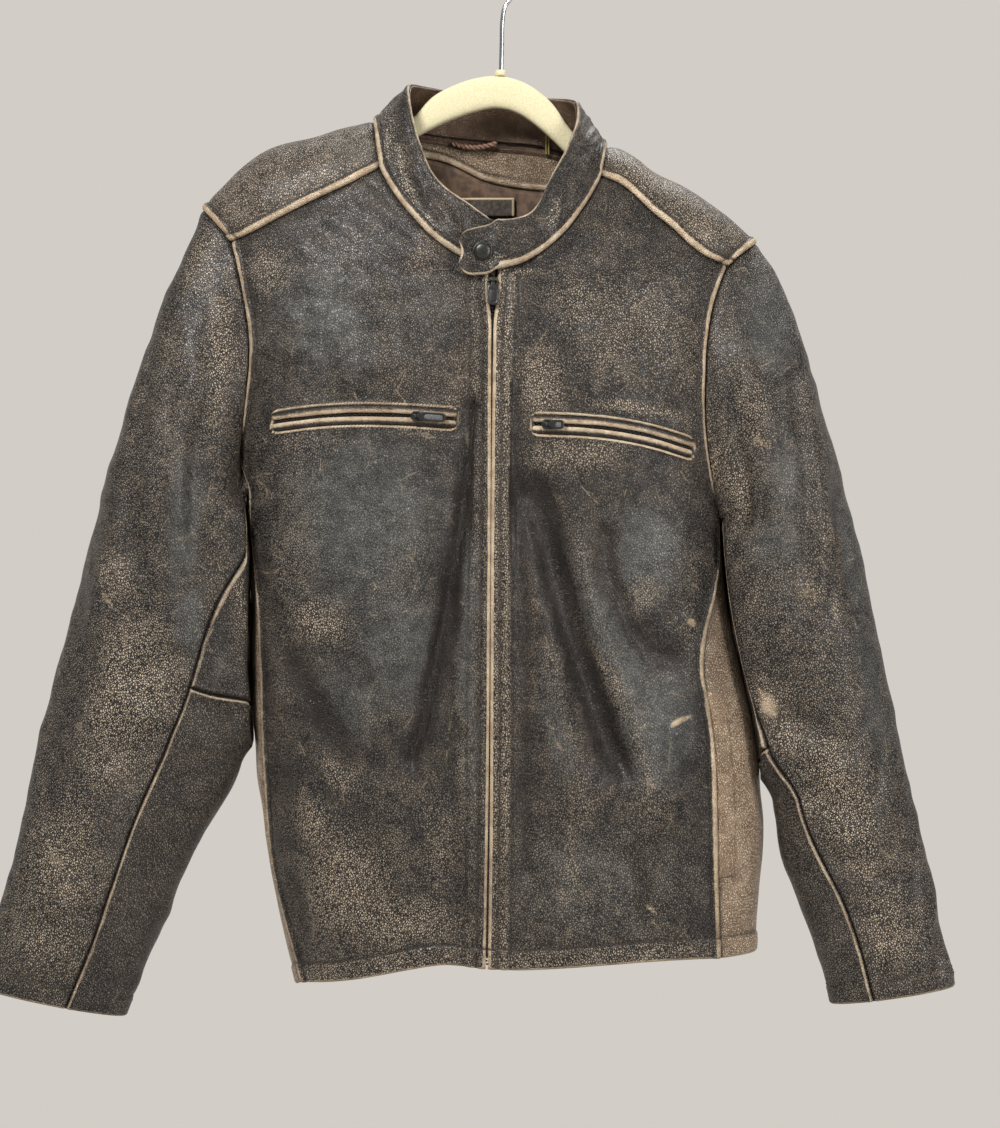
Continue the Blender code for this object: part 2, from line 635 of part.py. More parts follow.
def material(name, colour, roughness, metallic=0.0):
    made = bpy.data.materials.new(name)
    made.use_nodes = True
    shader = made.node_tree.nodes["Principled BSDF"]
    shader.inputs["Base Color"].default_value = (*colour, 1)
    shader.inputs["Roughness"].default_value = roughness
    shader.inputs["Metallic"].default_value = metallic
    return made


def add(name, points, faces, finish, smooth_angle=35):
    """A node from points in millimetres and faces, made of triangles that all face out."""
    mesh = bpy.data.meshes.new(name)
    mesh.from_pydata((np.asarray(points) * MM).tolist(), [], [list(map(int, face)) for face in faces])
    made = bmesh.new()
    made.from_mesh(mesh)
    bmesh.ops.recalc_face_normals(made, faces=made.faces)
    bmesh.ops.triangulate(made, faces=made.faces)
    made.to_mesh(mesh)
    made.free()
    mesh.shade_smooth()
    mesh.set_sharp_from_angle(angle=math.radians(smooth_angle))
    node = bpy.data.objects.new(name, mesh)
    node.data.materials.append(finish)
    bpy.context.scene.collection.objects.link(node)
    return node


def tube(path, sizes, sides=8, up=(0.0, 1.0, 0.0)):
    """A closed tube: an oval of the sizes (across, along up) round each point of a path, with flat ends."""
    path = np.asarray(path, float)
    sizes = np.broadcast_to(np.asarray(sizes, float), (len(path), 2))
    ahead = np.gradient(path, axis=0)
    ahead /= np.linalg.norm(ahead, axis=1, keepdims=True)
    up = np.asarray(up, float)
    across = np.cross(ahead, up)
    across /= np.linalg.norm(across, axis=1, keepdims=True)
    turn = np.linspace(0, 2 * math.pi, sides, endpoint=False) + math.pi / sides
    rings = (path[:, None] + across[:, None] * (sizes[:, :1] * np.cos(turn))[..., None]
             + up * (sizes[:, 1:] * np.sin(turn))[..., None])
    n = len(path)
    at = np.arange(n * sides).reshape(n, sides)
    nxt = np.roll(at, -1, axis=1)
    quads = np.stack([at[:-1], nxt[:-1], nxt[1:], at[1:]], -1).reshape(-1, 4)
    faces = quads.tolist() + [at[0].tolist()[::-1], at[-1].tolist()]
    return rings.reshape(-1, 3), faces


def add_tube(name, path, sizes, finish, sides=8):
    return add(name, *tube(path, sizes, sides), finish)


def clear_scene():
    for thing in list(bpy.data.objects):
        bpy.data.objects.remove(thing)


def cut_panels(panels):
    """The two parts of each under sleeve, parted at the elbow."""
    for side in ("right", "left"):
        under = sleeve_grid(side, "under")
        panels[f"sleeve_top_{side}"] = sleeve_grid(side, "top")
        panels[f"sleeve_under_upper_{side}"] = under[:ELBOW_RING + 1]
        panels[f"sleeve_under_lower_{side}"] = under[ELBOW_RING:]


def sleeve_hints(side, grid, first_ring):
    """From the sleeve's middle line out to each point of the grid."""
    hints = np.empty_like(grid)
    for i in range(len(grid)):
        x0, z0, x1, z1, axis = (float(value) for value in sleeve_ring(side, first_ring + i)[:5])
        hints[i] = grid[i] - np.array([(x0 + x1) / 2, axis, (z0 + z1) / 2])
    return hints


def all_panels():
    panels = {}
    hints = {}
    for side in ("right", "left"):
        panels[f"front_{side}"] = front_grid(side)
        hints[f"front_{side}"] = np.array([0, -1, 0])
        panels[f"side_{side}"] = side_grid(side)
        hints[f"side_{side}"] = np.array([-1 if side == "right" else 1, 0, 0])
        panels[f"yoke_{side}"] = yoke_grid(side)
        hints[f"yoke_{side}"] = np.array([0, 0, 1])
    panels["back"] = back_grid()
    hints["back"] = np.array([0, 1, 0])
    panels["collar_outer"] = collar_grid(panels)
    hints["collar_outer"] = panels["collar_outer"] - np.array([*NECK_CENTRE, -180])
    cut_panels(panels)
    for name in list(panels):
        if name.startswith("sleeve"):
            side = name.rsplit("_", 1)[1]
            hints[name] = sleeve_hints(side, panels[name], ELBOW_RING if "lower" in name else 0)
    return panels, hints


class Surface:
    """The faceted face of one or more walls, to find how far out it lies at a place in the front view."""

    def __init__(self, *shells):
        points = []
        faces = []
        for shell_points, shell_faces in shells:
            faces += (np.asarray(shell_faces) + len(points)).tolist()
            points += np.asarray(shell_points).tolist()
        self.tree = BVHTree.FromPolygons(points, faces)

    def y(self, x, z, behind=False):
        """The first face met from the front, or from behind."""
        start = 900.0 if behind else -900.0
        hit = self.tree.ray_cast(Vector((x, start, z)), Vector((0, -1 if behind else 1, 0)))
        return hit[0].y if hit[0] is not None else float("nan")

    def sheet(self, x, z, out, behind=False):
        """Points over the face at x, z, moved towards whoever looks from that side."""
        sign = 1 if behind else -1
        y = [self.y(a, b, behind) + sign * out for a, b in zip(np.ravel(x), np.ravel(z))]
        return np.stack([np.ravel(x), y, np.ravel(z)], axis=-1).reshape(*np.shape(x), 3)


def add_leather(moved, normals):
    """Every main panel as its own wall. Gives back each wall's points and triangles."""
    shells = {}
    dark = material("worn_leather", LEATHER_COLOUR, 0.5)
    pale = material("rubbed_leather", LEATHER_PALE, 0.55)
    for name in moved:
        shells[name] = wall(moved[name], normals[name], LEATHER)
        add(name, *shells[name], pale if name.startswith(("yoke", "side")) else dark)
    return shells, dark


def add_collar_inner(moved, normals, dark):
    """The collar's inner leather: the outer band's points, one leather behind, clear of the neck seam.
    Gives back the wall of its stretch behind the neck."""
    grid = moved["collar_outer"].copy()
    grid[0] = grid[0] * 0.8 + grid[1] * 0.2
    add("collar_inner", *wall(grid, normals["collar_outer"], LEATHER, LEATHER + LAY_GAP), dark)
    behind = np.flatnonzero(grid[0, :, 1] > 10)
    return wall(grid[:, behind], normals["collar_outer"][:, behind], LEATHER, LEATHER + LAY_GAP)


def add_snap(surface):
    """A domed cap on the collar's tab, turned about the line that faces the front."""
    radius, height, x, z = SNAP
    seat = min(surface.y(x + 6 * c, z + 6 * s) for c, s in ((1, 0), (-1, 0), (0, 1), (0, -1), (0, 0)))
    profile = [(0.86, 0.0), (1.0, 0.25), (1.0, 0.45), (0.9, 0.72), (0.62, 0.93), (0.3, 1.0)]
    path = [(x, seat - LAY_GAP - height * h, z) for _, h in profile]
    sizes = [(radius * r, radius * r) for r, _ in profile]
    add_tube_facing("snap_cap", path, sizes, material("gunmetal", GUNMETAL, 0.35, 1.0), 20)


def add_tube_facing(name, path, sizes, finish, sides):
    """A turned piece whose axis runs towards the front: rings in the plane of x and z."""
    turn = np.linspace(0, 2 * math.pi, sides, endpoint=False)
    rings = []
    for (x, y, z), (rx, rz) in zip(path, sizes):
        rings.append(np.column_stack([x + rx * np.cos(turn), np.full(sides, y), z + rz * np.sin(turn)]))
    points = np.concatenate(rings)
    at = np.arange(len(points)).reshape(len(path), sides)
    nxt = np.roll(at, -1, axis=1)
    quads = np.stack([at[:-1], nxt[:-1], nxt[1:], at[1:]], -1).reshape(-1, 4).tolist()
    faces = quads + [at[0].tolist()[::-1], at[-1].tolist()]
    return add(name, points, faces, finish)


def strip(face, thickness):
    """A thin wall over a grid of points that face the front, its back a thickness behind in y."""
    normals = np.zeros_like(face)
    normals[..., 1] = -1
    return wall(face, normals, thickness)


def add_front_zip(moved, normals, tape):
    """Two tapes behind the fronts' edges and the closed chain between them."""
    edges = {}
    for side in ("right", "left"):
        grid = moved[f"front_{side}"][:ROWS_ZIP + 1]
        into = grid[:, 1] - grid[:, 0]
        into /= np.linalg.norm(into, axis=1, keepdims=True)
        edges[side] = grid[:, 0]
        lie = normals[f"front_{side}"][:ROWS_ZIP + 1, 0]
        lie = lie - into * (lie * into).sum(axis=1, keepdims=True)
        lie /= np.linalg.norm(lie, axis=1, keepdims=True)
        face = np.stack([grid[:, 0] - 0.6 * into, grid[:, 0] + 9 * into], axis=1)
        face -= lie[:, None] * (LEATHER + 3 * LAY_GAP)
        face[0, :, 2] += 3
        face[-1, :, 2] -= 3
        add(f"zip_tape_{side}", *strip(face, 0.8), tape)
    middle = (edges["right"] + edges["left"]) / 2
    middle[0, 2] += 1
    middle[-1, 2] -= 2
    face = np.stack([middle - [1.5, 0, 0], middle + [1.5, 0, 0]], axis=1) + np.array([0, 1.0, 0])
    add("zip_chain", *strip(face, 2.2), material("zip_teeth", BLACK_METAL, 0.4, 1.0))


def block(name, low, high):
    """A helper box between two corners, in millimetres in its own frame."""
    made = bmesh.new()
    bmesh.ops.create_cube(made, size=1)
    size = [b - a for a, b in zip(low, high)]
    centre = [(a + b) / 2 for a, b in zip(low, high)]
    bmesh.ops.scale(made, vec=size, verts=made.verts)
    bmesh.ops.translate(made, vec=centre, verts=made.verts)
    return finish_helper(name, made)


def rod(name, radius, length, sides=16, at=(0, 0, 0)):
    """A helper cylinder along its own x axis."""
    made = bmesh.new()
    bmesh.ops.create_cone(
        made, cap_ends=True, segments=sides, radius1=radius, radius2=radius, depth=length,
        matrix=Matrix.Translation(at) @ Matrix.Rotation(math.pi / 2, 4, "Y"))
    return finish_helper(name, made)


def finish_helper(name, made):
    bmesh.ops.scale(made, vec=(MM, MM, MM), verts=made.verts)
    mesh = bpy.data.meshes.new(name)
    made.to_mesh(mesh)
    made.free()
    helper = bpy.data.objects.new(name, mesh)
    bpy.context.scene.collection.objects.link(helper)
    return helper


def combine(base, helpers, operation):
    """Joins or cuts a node with helper solids, which stay hidden."""
    for helper in helpers:
        helper.hide_render = True
        helper.display_type = "WIRE"
        helper.matrix_world = base.matrix_world
        change = base.modifiers.new(helper.name, "BOOLEAN")
        change.operation = operation
        change.object = helper


def add_zip_hardware(name, at, pull_way, facing, pull_size, metal):
    """A slider with a bridge pin, and a pull tab hung on the pin. In their own frame the pin lies along x,
    the tab hangs down z, and y points into the jacket. The frame's origin is on the pin."""
    down = Vector(pull_way).normalized()
    out = Vector(facing)
    out = (out - down * out.dot(down)).normalized()
    across = out.cross(down)
    frame = Matrix((across, -out, -down)).transposed().to_4x4()
    frame.translation = (Vector(at) + out * PIN_OUT) * MM
    body = block(f"{name}_slider", (-3.8, 2.0, -8.5), (3.8, PIN_OUT - 0.5, 3.2))
    body.matrix_world = frame
    lugs = [
        block(f"{name}_lug_{n}", (x - 0.6, -1.2, -1.6), (x + 0.6, 2.6, 1.6)) for n, x in enumerate((-2.9, 2.9))]
    combine(body, lugs + [rod(f"{name}_pin", PIN_RADIUS, 5.6)], "UNION")
    body.data.materials.append(metal)
    width, length = pull_size
    tab = block(f"{name}_pull", (-width / 2, -0.65, -length), (width / 2, 0.65, -3.4))
    tab.matrix_world = frame
    neck = block(f"{name}_neck", (-1.8, -0.6, -3.8), (1.8, 0.6, -1.2))
    eye = rod(f"{name}_eye", 1.8, 3.6)
    combine(tab, [neck, eye], "UNION")
    combine(tab, [rod(f"{name}_bore", PIN_RADIUS + 0.35, 9)], "DIFFERENCE")
    tab.data.materials.append(metal)
    return tab


def pocket_line(side, t):
    return along(CHEST_POCKET[side], np.asarray(t, float))


def pocket_outline(side, half, ends):
    """The long slot in the front view: two edges beside the middle line, and round ends."""
    t = np.linspace(0, 1, POCKET_COLUMNS + 1)
    middle = pocket_line(side, t)
    slope = np.gradient(middle, axis=0)
    slope /= np.hypot(*slope.T)[:, None]
    side_way = np.column_stack([-slope[:, 1], slope[:, 0]])
    corner = math.radians(45)
    points = [middle[0] - slope[0] * ends + side_way[0] * half * (1 - math.sin(corner)) * 0.9]
    points += list(middle + side_way * half)
    points += [middle[-1] + slope[-1] * ends + side_way[-1] * half * 0.27]
    points += [middle[-1] + slope[-1] * ends - side_way[-1] * half * 0.27]
    points += list((middle - side_way * half)[::-1])
    points += [middle[0] - slope[0] * ends - side_way[0] * half * 0.27]
    return np.array(points)


def cut_window(node, side):
    """A hole through a front along the pocket's slot."""
    outline = pocket_outline(side, POCKET_HALF, 3.0)
    n = len(outline)
    points = [(x, y, z) for y in (-200, 0) for x, z in outline]
    faces = [list(range(n)), list(range(2 * n - 1, n - 1, -1))]
    faces += [[i, i + n, (i + 1) % n + n, (i + 1) % n] for i in range(n)]
    cutter = add(f"window_{side}", points, faces, node.data.materials[0])
    cutter.hide_render = True
    cutter.display_type = "WIRE"
    cut = node.modifiers.new("pocket_window", "BOOLEAN")
    cut.operation = "DIFFERENCE"
    cut.object = cutter


def add_chest_pocket(side, surface, dark, tape, metal):
    """Two rounded lips in the window, the zip's tape and chain behind them, and its slider and pull."""
    t = np.linspace(0.0, 1.0, POCKET_COLUMNS + 1)
    middle = pocket_line(side, t)
    slope = np.gradient(middle, axis=0)
    slope /= np.hypot(*slope.T)[:, None]
    up = np.column_stack([-slope[:, 1], slope[:, 0]])
    for lip, sign in (("upper", 1), ("lower", -1)):
        rows = []
        for across, proud in ((7.3, 0.0), (6.2, 1.3), (4.2, 1.7), (2.4, 1.1), (1.7, -0.2)):
            xz = middle + up * sign * across
            rows.append(surface.sheet(xz[:, 0], xz[:, 1], proud))
        face = np.array(rows)
        flat = np.array(rows)
        flat[..., 1] = np.stack([rows[0][:, 1], rows[-1][:, 1]]).max(axis=0) + 1.2
        points, faces = two_faced(face, flat)
        add(f"pocket_lip_{lip}_{side}", points, faces, dark)
    half = POCKET_HALF + 4
    grid = []
    for across in (-half, 0, half):
        xz = middle + up * across
        line = surface.sheet(xz[:, 0], xz[:, 1], 0)
        steep = np.gradient(line[:, 1]) / np.gradient(line[:, 0])
        line[:, 1] += (LEATHER + 0.8) * np.sqrt(1 + steep**2)
        grid.append(line)
    grid = np.array(grid)
    add(f"pocket_tape_{side}", *strip(grid, 0.8), tape)
    place = pocket_line(side, [POCKET_SLIDER[side]])[0]
    ahead = pocket_line(side, [POCKET_SLIDER[side] + 0.12])[0]
    seat = surface.y(*place)
    way = (ahead[0] - place[0], surface.y(*ahead) - seat, ahead[1] - place[1])
    add_zip_hardware(
        f"pocket_{side}", (place[0], seat - 1.6, place[1]), way, (0, -1, 0),
        (7.0, POCKET_PULL[side]), metal)


def two_faced(face, back):
    """A closed solid between two grids with the same rows and columns."""
    normals = np.zeros_like(face)
    normals[..., 1] = -1
    points, faces = wall(face, normals, 1.0)
    points[face.shape[0] * face.shape[1]:] = back.reshape(-1, 3)
    return points, faces


def add_hand_pocket(side, moved, normals, dark):
    """A welt that lies on the side panel, along the stretch of the side seam that is left open."""
    grid = moved[f"side_{side}"]
    top, bottom = HAND_POCKET[side]
    rows = [i for i in range(len(grid)) if bottom - 12 <= grid[i, 0, 2] <= top + 12]
    pick = grid[rows[0]:rows[-1] + 1, :2]
    lie = normals[f"side_{side}"][rows[0]:rows[-1] + 1, :2]
    near = pick[:, 0] * 0.94 + pick[:, 1] * 0.06
    far = pick[:, 0] * 0.45 + pick[:, 1] * 0.55
    face = np.stack([near, far], axis=1)
    away = np.stack([lie[:, 0], (lie[:, 0] + lie[:, 1]) / 2], axis=1)
    away /= np.linalg.norm(away, axis=-1, keepdims=True)
    add(f"hand_pocket_welt_{side}", *wall(face, away, 1.2, -(1.2 + LAY_GAP)), dark)


def add_neck_inside(surface, band, dark, lining_finish, brass):
    """What shows in the neck: a leather facing, the lining under it, a bare patch and the hanging loop."""
    t = np.linspace(0, 1, 11)
    top = along(FACING_TOP, t)
    edge = along(FACING_EDGE, t)
    rows = [top * (1 - w) + edge * w for w in (0, 0.5, 1)]
    xz = np.array(rows)
    face = surface.sheet(xz[..., 0], xz[..., 1], 0)
    face[..., 1] -= np.array([0.6, 1.3, 1.3])[:, None]
    add("neck_facing", *strip(face - [0, 1.0, 0], 1.0), dark)
    u = np.linspace(0, 1, 9)
    lines = []
    head = along(FACING_EDGE, u) - [0, 1.5]
    foot = np.column_stack([np.linspace(-130, 145, 9), np.linspace(-805, -794, 9)])
    for w in np.linspace(0, 1, 11):
        wide = head * (1 - w) + foot * w
        spread = min(1.0, w / 0.25)
        wide[:, 0] = head[:, 0] * (1 - spread) + foot[:, 0] * spread
        lines.append(wide)
    xz = np.array(lines)
    cloth = surface.sheet(xz[..., 0], xz[..., 1], 0)
    cloth[..., 1] -= 8.0
    cloth[0, :, 1] += 6.8
    add("lining_back", *strip(cloth, LINING), lining_finish)
    over = Surface(strip(face - [0, 1.0, 0], 1.0), strip(cloth, LINING), band)
    u = np.linspace(0, 1, 7)
    for name, rows, out, finish in (
            ("hanging_loop", LOOP, LAY_GAP + 1.0, dark), ("neck_tab", NECK_TAB, LAY_GAP + 0.8, brass),
            ("label_patch", LABEL, LAY_GAP + 0.8, lining_finish)):
        lines = [along(rows[:2], u), along(rows[2:], u)]
        xz = np.array([lines[0] * (1 - w) + lines[1] * w for w in (0, 0.5, 1)])
        flat = over.sheet(xz[..., 0], xz[..., 1], out)
        flat[..., 1] = np.nanmin(flat[..., 1])
        add(name, *strip(flat, out - LAY_GAP), finish)


def add_hanger(ivory):
    """A curved bar that rises to a nub in the neck, its arms just under the shoulders, and a wire hook."""
    x = HANGER[:, 0]
    top = HANGER[:, 1]
    outside = (x < -101) | (x > 83)
    top = np.where(outside, np.minimum(top, smooth(RIDGE, x) - LEATHER - 1.9), top)
    path = np.column_stack([x, 0 * x, (top + HANGER[:, 2]) / 2])
    half = (top - HANGER[:, 2]) / 2
    add_tube_upright("hanger_body", path, half, HANGER[:, 3], ivory)
    nub = [(-1.5, 0, -100.6), (-1.2, 0, -99.4), (-0.8, 0, -96.4)]
    add_tube("hanger_nub", nub, [(4.6, 4.6), (4.6, 4.6), (4.0, 4.0)], ivory, 12)
    radius = HOOK_RADIUS
    turn = np.radians(np.linspace(-45, 205, 22))
    loop = np.column_stack([radius * np.cos(turn), 0 * turn, HOOK_WIRE - radius + radius * np.sin(turn)])
    stem = np.array([(-0.7, 0, -96.0), (-0.2, 0, -75), (0.4, 0, -56), (2.2, 0, -46), (6.5, 0, -39.5)])
    chrome = material("chrome_wire", STEEL, 0.2, 1.0)
    add_tube("hanger_hook", np.concatenate([stem, loop]), (HOOK_WIRE, HOOK_WIRE), chrome, 8)


def add_tube_upright(name, path, tall, deep, finish):
    """Eight-sided sections in upright planes across x, their corners cut."""
    corners = [(0.55, 1), (1, 0.55), (1, -0.55), (0.55, -1), (-0.55, -1), (-1, -0.55), (-1, 0.55), (-0.55, 1)]
    rings = []
    for (x, y, z), h, d in zip(path, tall, deep):
        rings.append([(x, y + d * a, z + h * b) for a, b in corners])
    points = np.array(rings).reshape(-1, 3)
    at = np.arange(len(points)).reshape(len(path), 8)
    nxt = np.roll(at, -1, axis=1)
    quads = np.stack([at[:-1], nxt[:-1], nxt[1:], at[1:]], -1).reshape(-1, 4).tolist()
    add(name, points, quads + [at[0].tolist()[::-1], at[-1].tolist()], finish)


def main():
    clear_scene()
    panels, hints = all_panels()
    moved, normals = sew(panels, hints)
    shells, dark = add_leather(moved, normals)
    band = add_collar_inner(moved, normals, dark)
    tape = material("zip_tape", TAPE_COLOUR, 0.9)
    metal = material("black_metal", BLACK_METAL, 0.35, 1.0)
    fronts = Surface(shells["front_right"], shells["front_left"])
    add_snap(Surface(shells["collar_outer"]))
    add_front_zip(moved, normals, tape)
    x, z = ZIP_SLIDER
    seat, lower = (min(fronts.y(x + side, at) for side in (-4.2, 4.2)) for at in (z, z - 10))
    add_zip_hardware("zip", (x, seat, z), (0, lower - seat, -10), (0, -1, 0), ZIP_PULL_SIZE, metal)
    for side in ("right", "left"):
        cut_window(bpy.data.objects[f"front_{side}"], side)
        add_chest_pocket(side, fronts, dark, tape, metal)
        add_hand_pocket(side, moved, normals, dark)
    cloth = material("lining_cloth", LINING_COLOUR, 0.7)
    add_neck_inside(Surface(shells["back"]), band, dark, cloth, material("brass", BRASS, 0.4, 1.0))
    add_hanger(material("flocked_plastic", IVORY, 0.9))


main()
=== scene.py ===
"""The looks of a worn leather jacket that hangs on a flocked hanger.

Lengths are millimetres inside the functions and metres in the meshes. "right" and "left" are the wearer's.
Each leather panel is a grid of points worked out from its seams: two numbers run over the panel, one from
seam to seam and one from hem to shoulder. The grid is closed into a shell, its edges are rolled or tucked,
and its wear, together with painted shade in its grooves, fold troughs and turned-away sides, goes into two
colour attributes that the leather's material reads.
"""

import json
import math
from functools import partial

import bpy
import numpy as np
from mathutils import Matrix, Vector


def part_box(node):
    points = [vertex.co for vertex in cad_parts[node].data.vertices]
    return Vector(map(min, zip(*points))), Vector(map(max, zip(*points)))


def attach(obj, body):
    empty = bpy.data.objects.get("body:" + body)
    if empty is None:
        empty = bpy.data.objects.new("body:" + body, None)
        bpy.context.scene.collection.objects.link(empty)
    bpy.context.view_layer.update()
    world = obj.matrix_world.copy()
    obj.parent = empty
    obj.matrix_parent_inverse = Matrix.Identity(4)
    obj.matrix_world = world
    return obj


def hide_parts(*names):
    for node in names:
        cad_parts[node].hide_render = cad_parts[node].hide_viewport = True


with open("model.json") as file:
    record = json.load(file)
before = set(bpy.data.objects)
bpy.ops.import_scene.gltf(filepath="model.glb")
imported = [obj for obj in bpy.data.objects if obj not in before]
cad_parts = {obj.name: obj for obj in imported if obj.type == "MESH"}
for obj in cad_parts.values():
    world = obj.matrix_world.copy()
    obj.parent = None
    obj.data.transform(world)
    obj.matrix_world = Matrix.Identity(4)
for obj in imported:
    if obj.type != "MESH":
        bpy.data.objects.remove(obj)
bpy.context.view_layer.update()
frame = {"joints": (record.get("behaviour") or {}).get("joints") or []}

MM = 0.001
FORWARD = np.array([0.0, -1.0, 0.0])
LEATHER = 1.5
BODY = "jacket"

SIDES = {"right": -1, "left": 1}

# The armhole's stations: rows up each side of it, and degrees over the yoke between them.
ROWS_ARMHOLE = 7
YOKE_ANGLES = (0, 48, 79, 101, 132, 180)


def xyz(x, y, z):
    """Points from their coordinates, each an array or one number for all."""
    return np.stack(np.broadcast_arrays(x, y, z), axis=-1)


def table(*rows):
    """Rows of numbers as an array."""
    return np.array(rows, float)


# The body at heights: its two side edges, and its depth in front of and behind the hanger.
TORSO = table(
    # z, right, left, front, back
    (-830, -163, 202, 62, 42),
    (-790, -173, 203, 66, 44),
    (-740, -183, 206, 70, 45),
    (-700, -190, 208, 74, 46),
    (-655, -196, 205, 78, 48),
    (-610, -199, 199, 82, 49),
    (-570, -200, 189, 84, 50),
    (-520, -200, 180, 86, 50),
    (-460, -202, 175, 87, 50),
    (-400, -211, 176, 86, 49),
    (-340, -214, 178, 84, 48),
    (-290, -218, 184, 81, 46),
    (-250, -228, 196, 78, 44),
    (-200, -242, 214, 74, 42),
)
SQUARENESS = 2.6
EDGE_COLUMN = {"right": 1, "left": 2}

# The top of the shoulders from one side to the other; between the two neck points it is only a guide.
RIDGE = table(
    # x, z
    (-239, -207), (-227, -194), (-212, -178), (-197, -165), (-181, -157), (-150, -150), (-127, -143),
    (-102, -137), (-50, -118), (-10, -112), (40, -124), (83, -157), (94, -159), (107, -166), (122, -178),
    (146, -190), (168, -204), (183, -215), (197, -228), (203, -234),
)
FRONT_SLOPE = 220
BACK_SLOPE = 120
ZIP_TOP = -262
ZIP_FOOT = -803
SEAM_EASE = 0.16

# Near the edges of a panel its points lie this close, over this reach.
FINE_STEP = 1.0
FINE_REACH = 7.0
# About how wide and how tall the panels are, which spaces their columns and rows.
FRONT_SIZE = (190, 640)
BACK_SIZE = (390, 640)
SIDE_SIZE = (90, 380)
YOKE_SIZE = (140, 110)

# How far each front's edge lies from the zip's middle line, by height: the edges part below the slider.
ZIP_LINE = table((-807, -12), (-674, -10), (-519, -9), (-364, -8), (-262, -7))
ZIP_PARTING = table((-830, 0.9), (-330, 0.7), (-300, 1.2), (-284, 3.2), (-250, 3.6))

# Seams in the front view, as x, z.
SIDE_SEAM = {
    "right": table(
        (-158, -822), (-167, -790), (-176, -756), (-183, -716), (-188, -645), (-190, -580), (-193, -516),
        (-197, -477), (-199, -433)),
    "left": table(
        (171, -801), (169, -741), (168, -686), (166, -640), (161, -600), (157, -576), (160, -544),
        (167, -517), (171, -490), (171, -452)),
}
SIDE_SEAM_BACK = {
    "right": table(
        (-146, -819), (-160, -756), (-168, -680), (-172, -600), (-176, -520), (-186, -470), (-198, -433)),
    "left": table(
        (176, -803), (178, -740), (178, -680), (172, -610), (163, -560), (160, -510), (170, -452)),
}
ARMPIT = {"right": (-203, -442), "left": (175, -461)}
ARMHOLE = {
    "right": table(
        (-199, -433), (-207, -405), (-204, -384), (-200, -352), (-198, -319), (-204, -276), (-209, -254),
        (-214, -235)),
    "left": table(
        (171, -452), (164, -420), (159, -383), (159, -342), (161, -313), (165, -290), (172, -268),
        (178, -254)),
}
ARMHOLE_BACK = {
    "right": table(
        (-198, -433), (-196, -400), (-192, -365), (-190, -325), (-193, -290), (-199, -260), (-206, -236)),
    "left": table(
        (170, -452), (160, -420), (154, -383), (152, -342), (155, -310), (162, -285), (172, -262)),
}
NECKLINE = {
    "right": table(
        (-10.4, -262), (-33, -251), (-55, -235), (-68, -221), (-81, -205), (-94, -183), (-96, -178)),
    "left": table((-3.6, -262), (15, -257), (34, -245), (49, -231), (63, -212), (75, -191), (78, -184)),
}
YOKE_SEAM = {
    "right": table((-96, -178), (-118, -190), (-148, -204), (-178, -219), (-200, -230), (-214, -235)),
    "left": table(
        (78, -184), (94, -191), (120, -214), (135, -226), (150, -240), (162, -248), (178, -254)),
}
YOKE_RIDGE = {"right": (-102, -239), "left": (83, 203)}
YOKE_SEAM_BACK = {
    "right": table((-86, -146), (-120, -172), (-160, -200), (-206, -236)),
    "left": table((70, -169), (100, -196), (136, -226), (172, -262)),
}
BACK_NECK = table((-86, -146), (-60, -149), (-34, -152), (-2, -155), (30, -158), (70, -169))
HEM = {
    "right": table(
        (-15.4, -807), (-47, -804), (-73, -808), (-92, -812), (-111, -816), (-130, -819), (-158, -822)),
    "left": table(
        (-8.6, -807), (13, -808), (42, -807), (87, -804), (117, -802), (147, -801), (171, -801)),
}
HEM_BACK = table((-146, -819), (-80, -815), (0, -810), (90, -806), (176, -803))
HEM_SIDE = {"right": -826, "left": -799}

# Folds: half the width of the soft bell across each, how far it stands out, and its line as x, z.
FOLDS_FRONT = [
    # The long valley beside the zip on the right front, with a sharp crease in it and a swell before it.
    (10, -7, [(-22, -350), (-27, -395), (-31, -462), (-45, -535), (-59, -609), (-75, -660)]),
    (3.6, -3.2, [(-21, -362), (-29, -440), (-34, -480), (-45, -535), (-59, -609), (-72, -650)]),
    (24, 5, [(-66, -430), (-82, -510), (-100, -590)]),
    (7, -3.5, [(-36, -500), (-38, -600), (-35, -790)]),
    (8, 2.5, [(-27, -480), (-28, -790)]),
    (13, -6, [(-175, -545), (-150, -590), (-121, -645), (-125, -668)]),
    (12, -4, [(-87, -524), (-101, -540), (-114, -559)]),
    (15, 5, [(-160, -650), (-148, -690), (-138, -730)]),
    (9, -4.5, [(-168, -725), (-160, -760), (-152, -800)]),
    (17, 3.5, [(-110, -650), (-85, -700), (-80, -770)]),
    (9, -3, [(-60, -700), (-66, -760)]),
    (14, -3.5, [(-190, -300), (-170, -330), (-160, -362)]),
    (12, 3, [(-120, -250), (-90, -300), (-60, -350)]),
    # The left front: a crease along the zip's facing, then a deep trough that runs down and out.
    (6, -4.5, [(13, -338), (9.5, -421), (18.5, -545), (19, -740)]),
    (14, -15, [(20, -412), (26, -440), (46, -504), (66, -573), (85, -628), (106, -668)]),
    (16, 9, [(52, -455), (66, -520), (86, -585), (110, -648), (130, -712)]),
    (12, -6, [(82, -446), (80, -490), (98, -540), (120, -560), (150, -570)]),
    (20, 5, [(118, -455), (125, -500), (140, -530)]),
    (12, 5, [(36, -545), (46, -600), (60, -665), (66, -720)]),
    (10, -4, [(96, -700), (112, -740), (108, -785)]),
    (16, -3, [(140, -620), (150, -680), (146, -740)]),
    (12, 3, [(40, -280), (60, -320), (70, -360)]),
    (10, -3, [(95, -290), (110, -330), (112, -372)]),
]
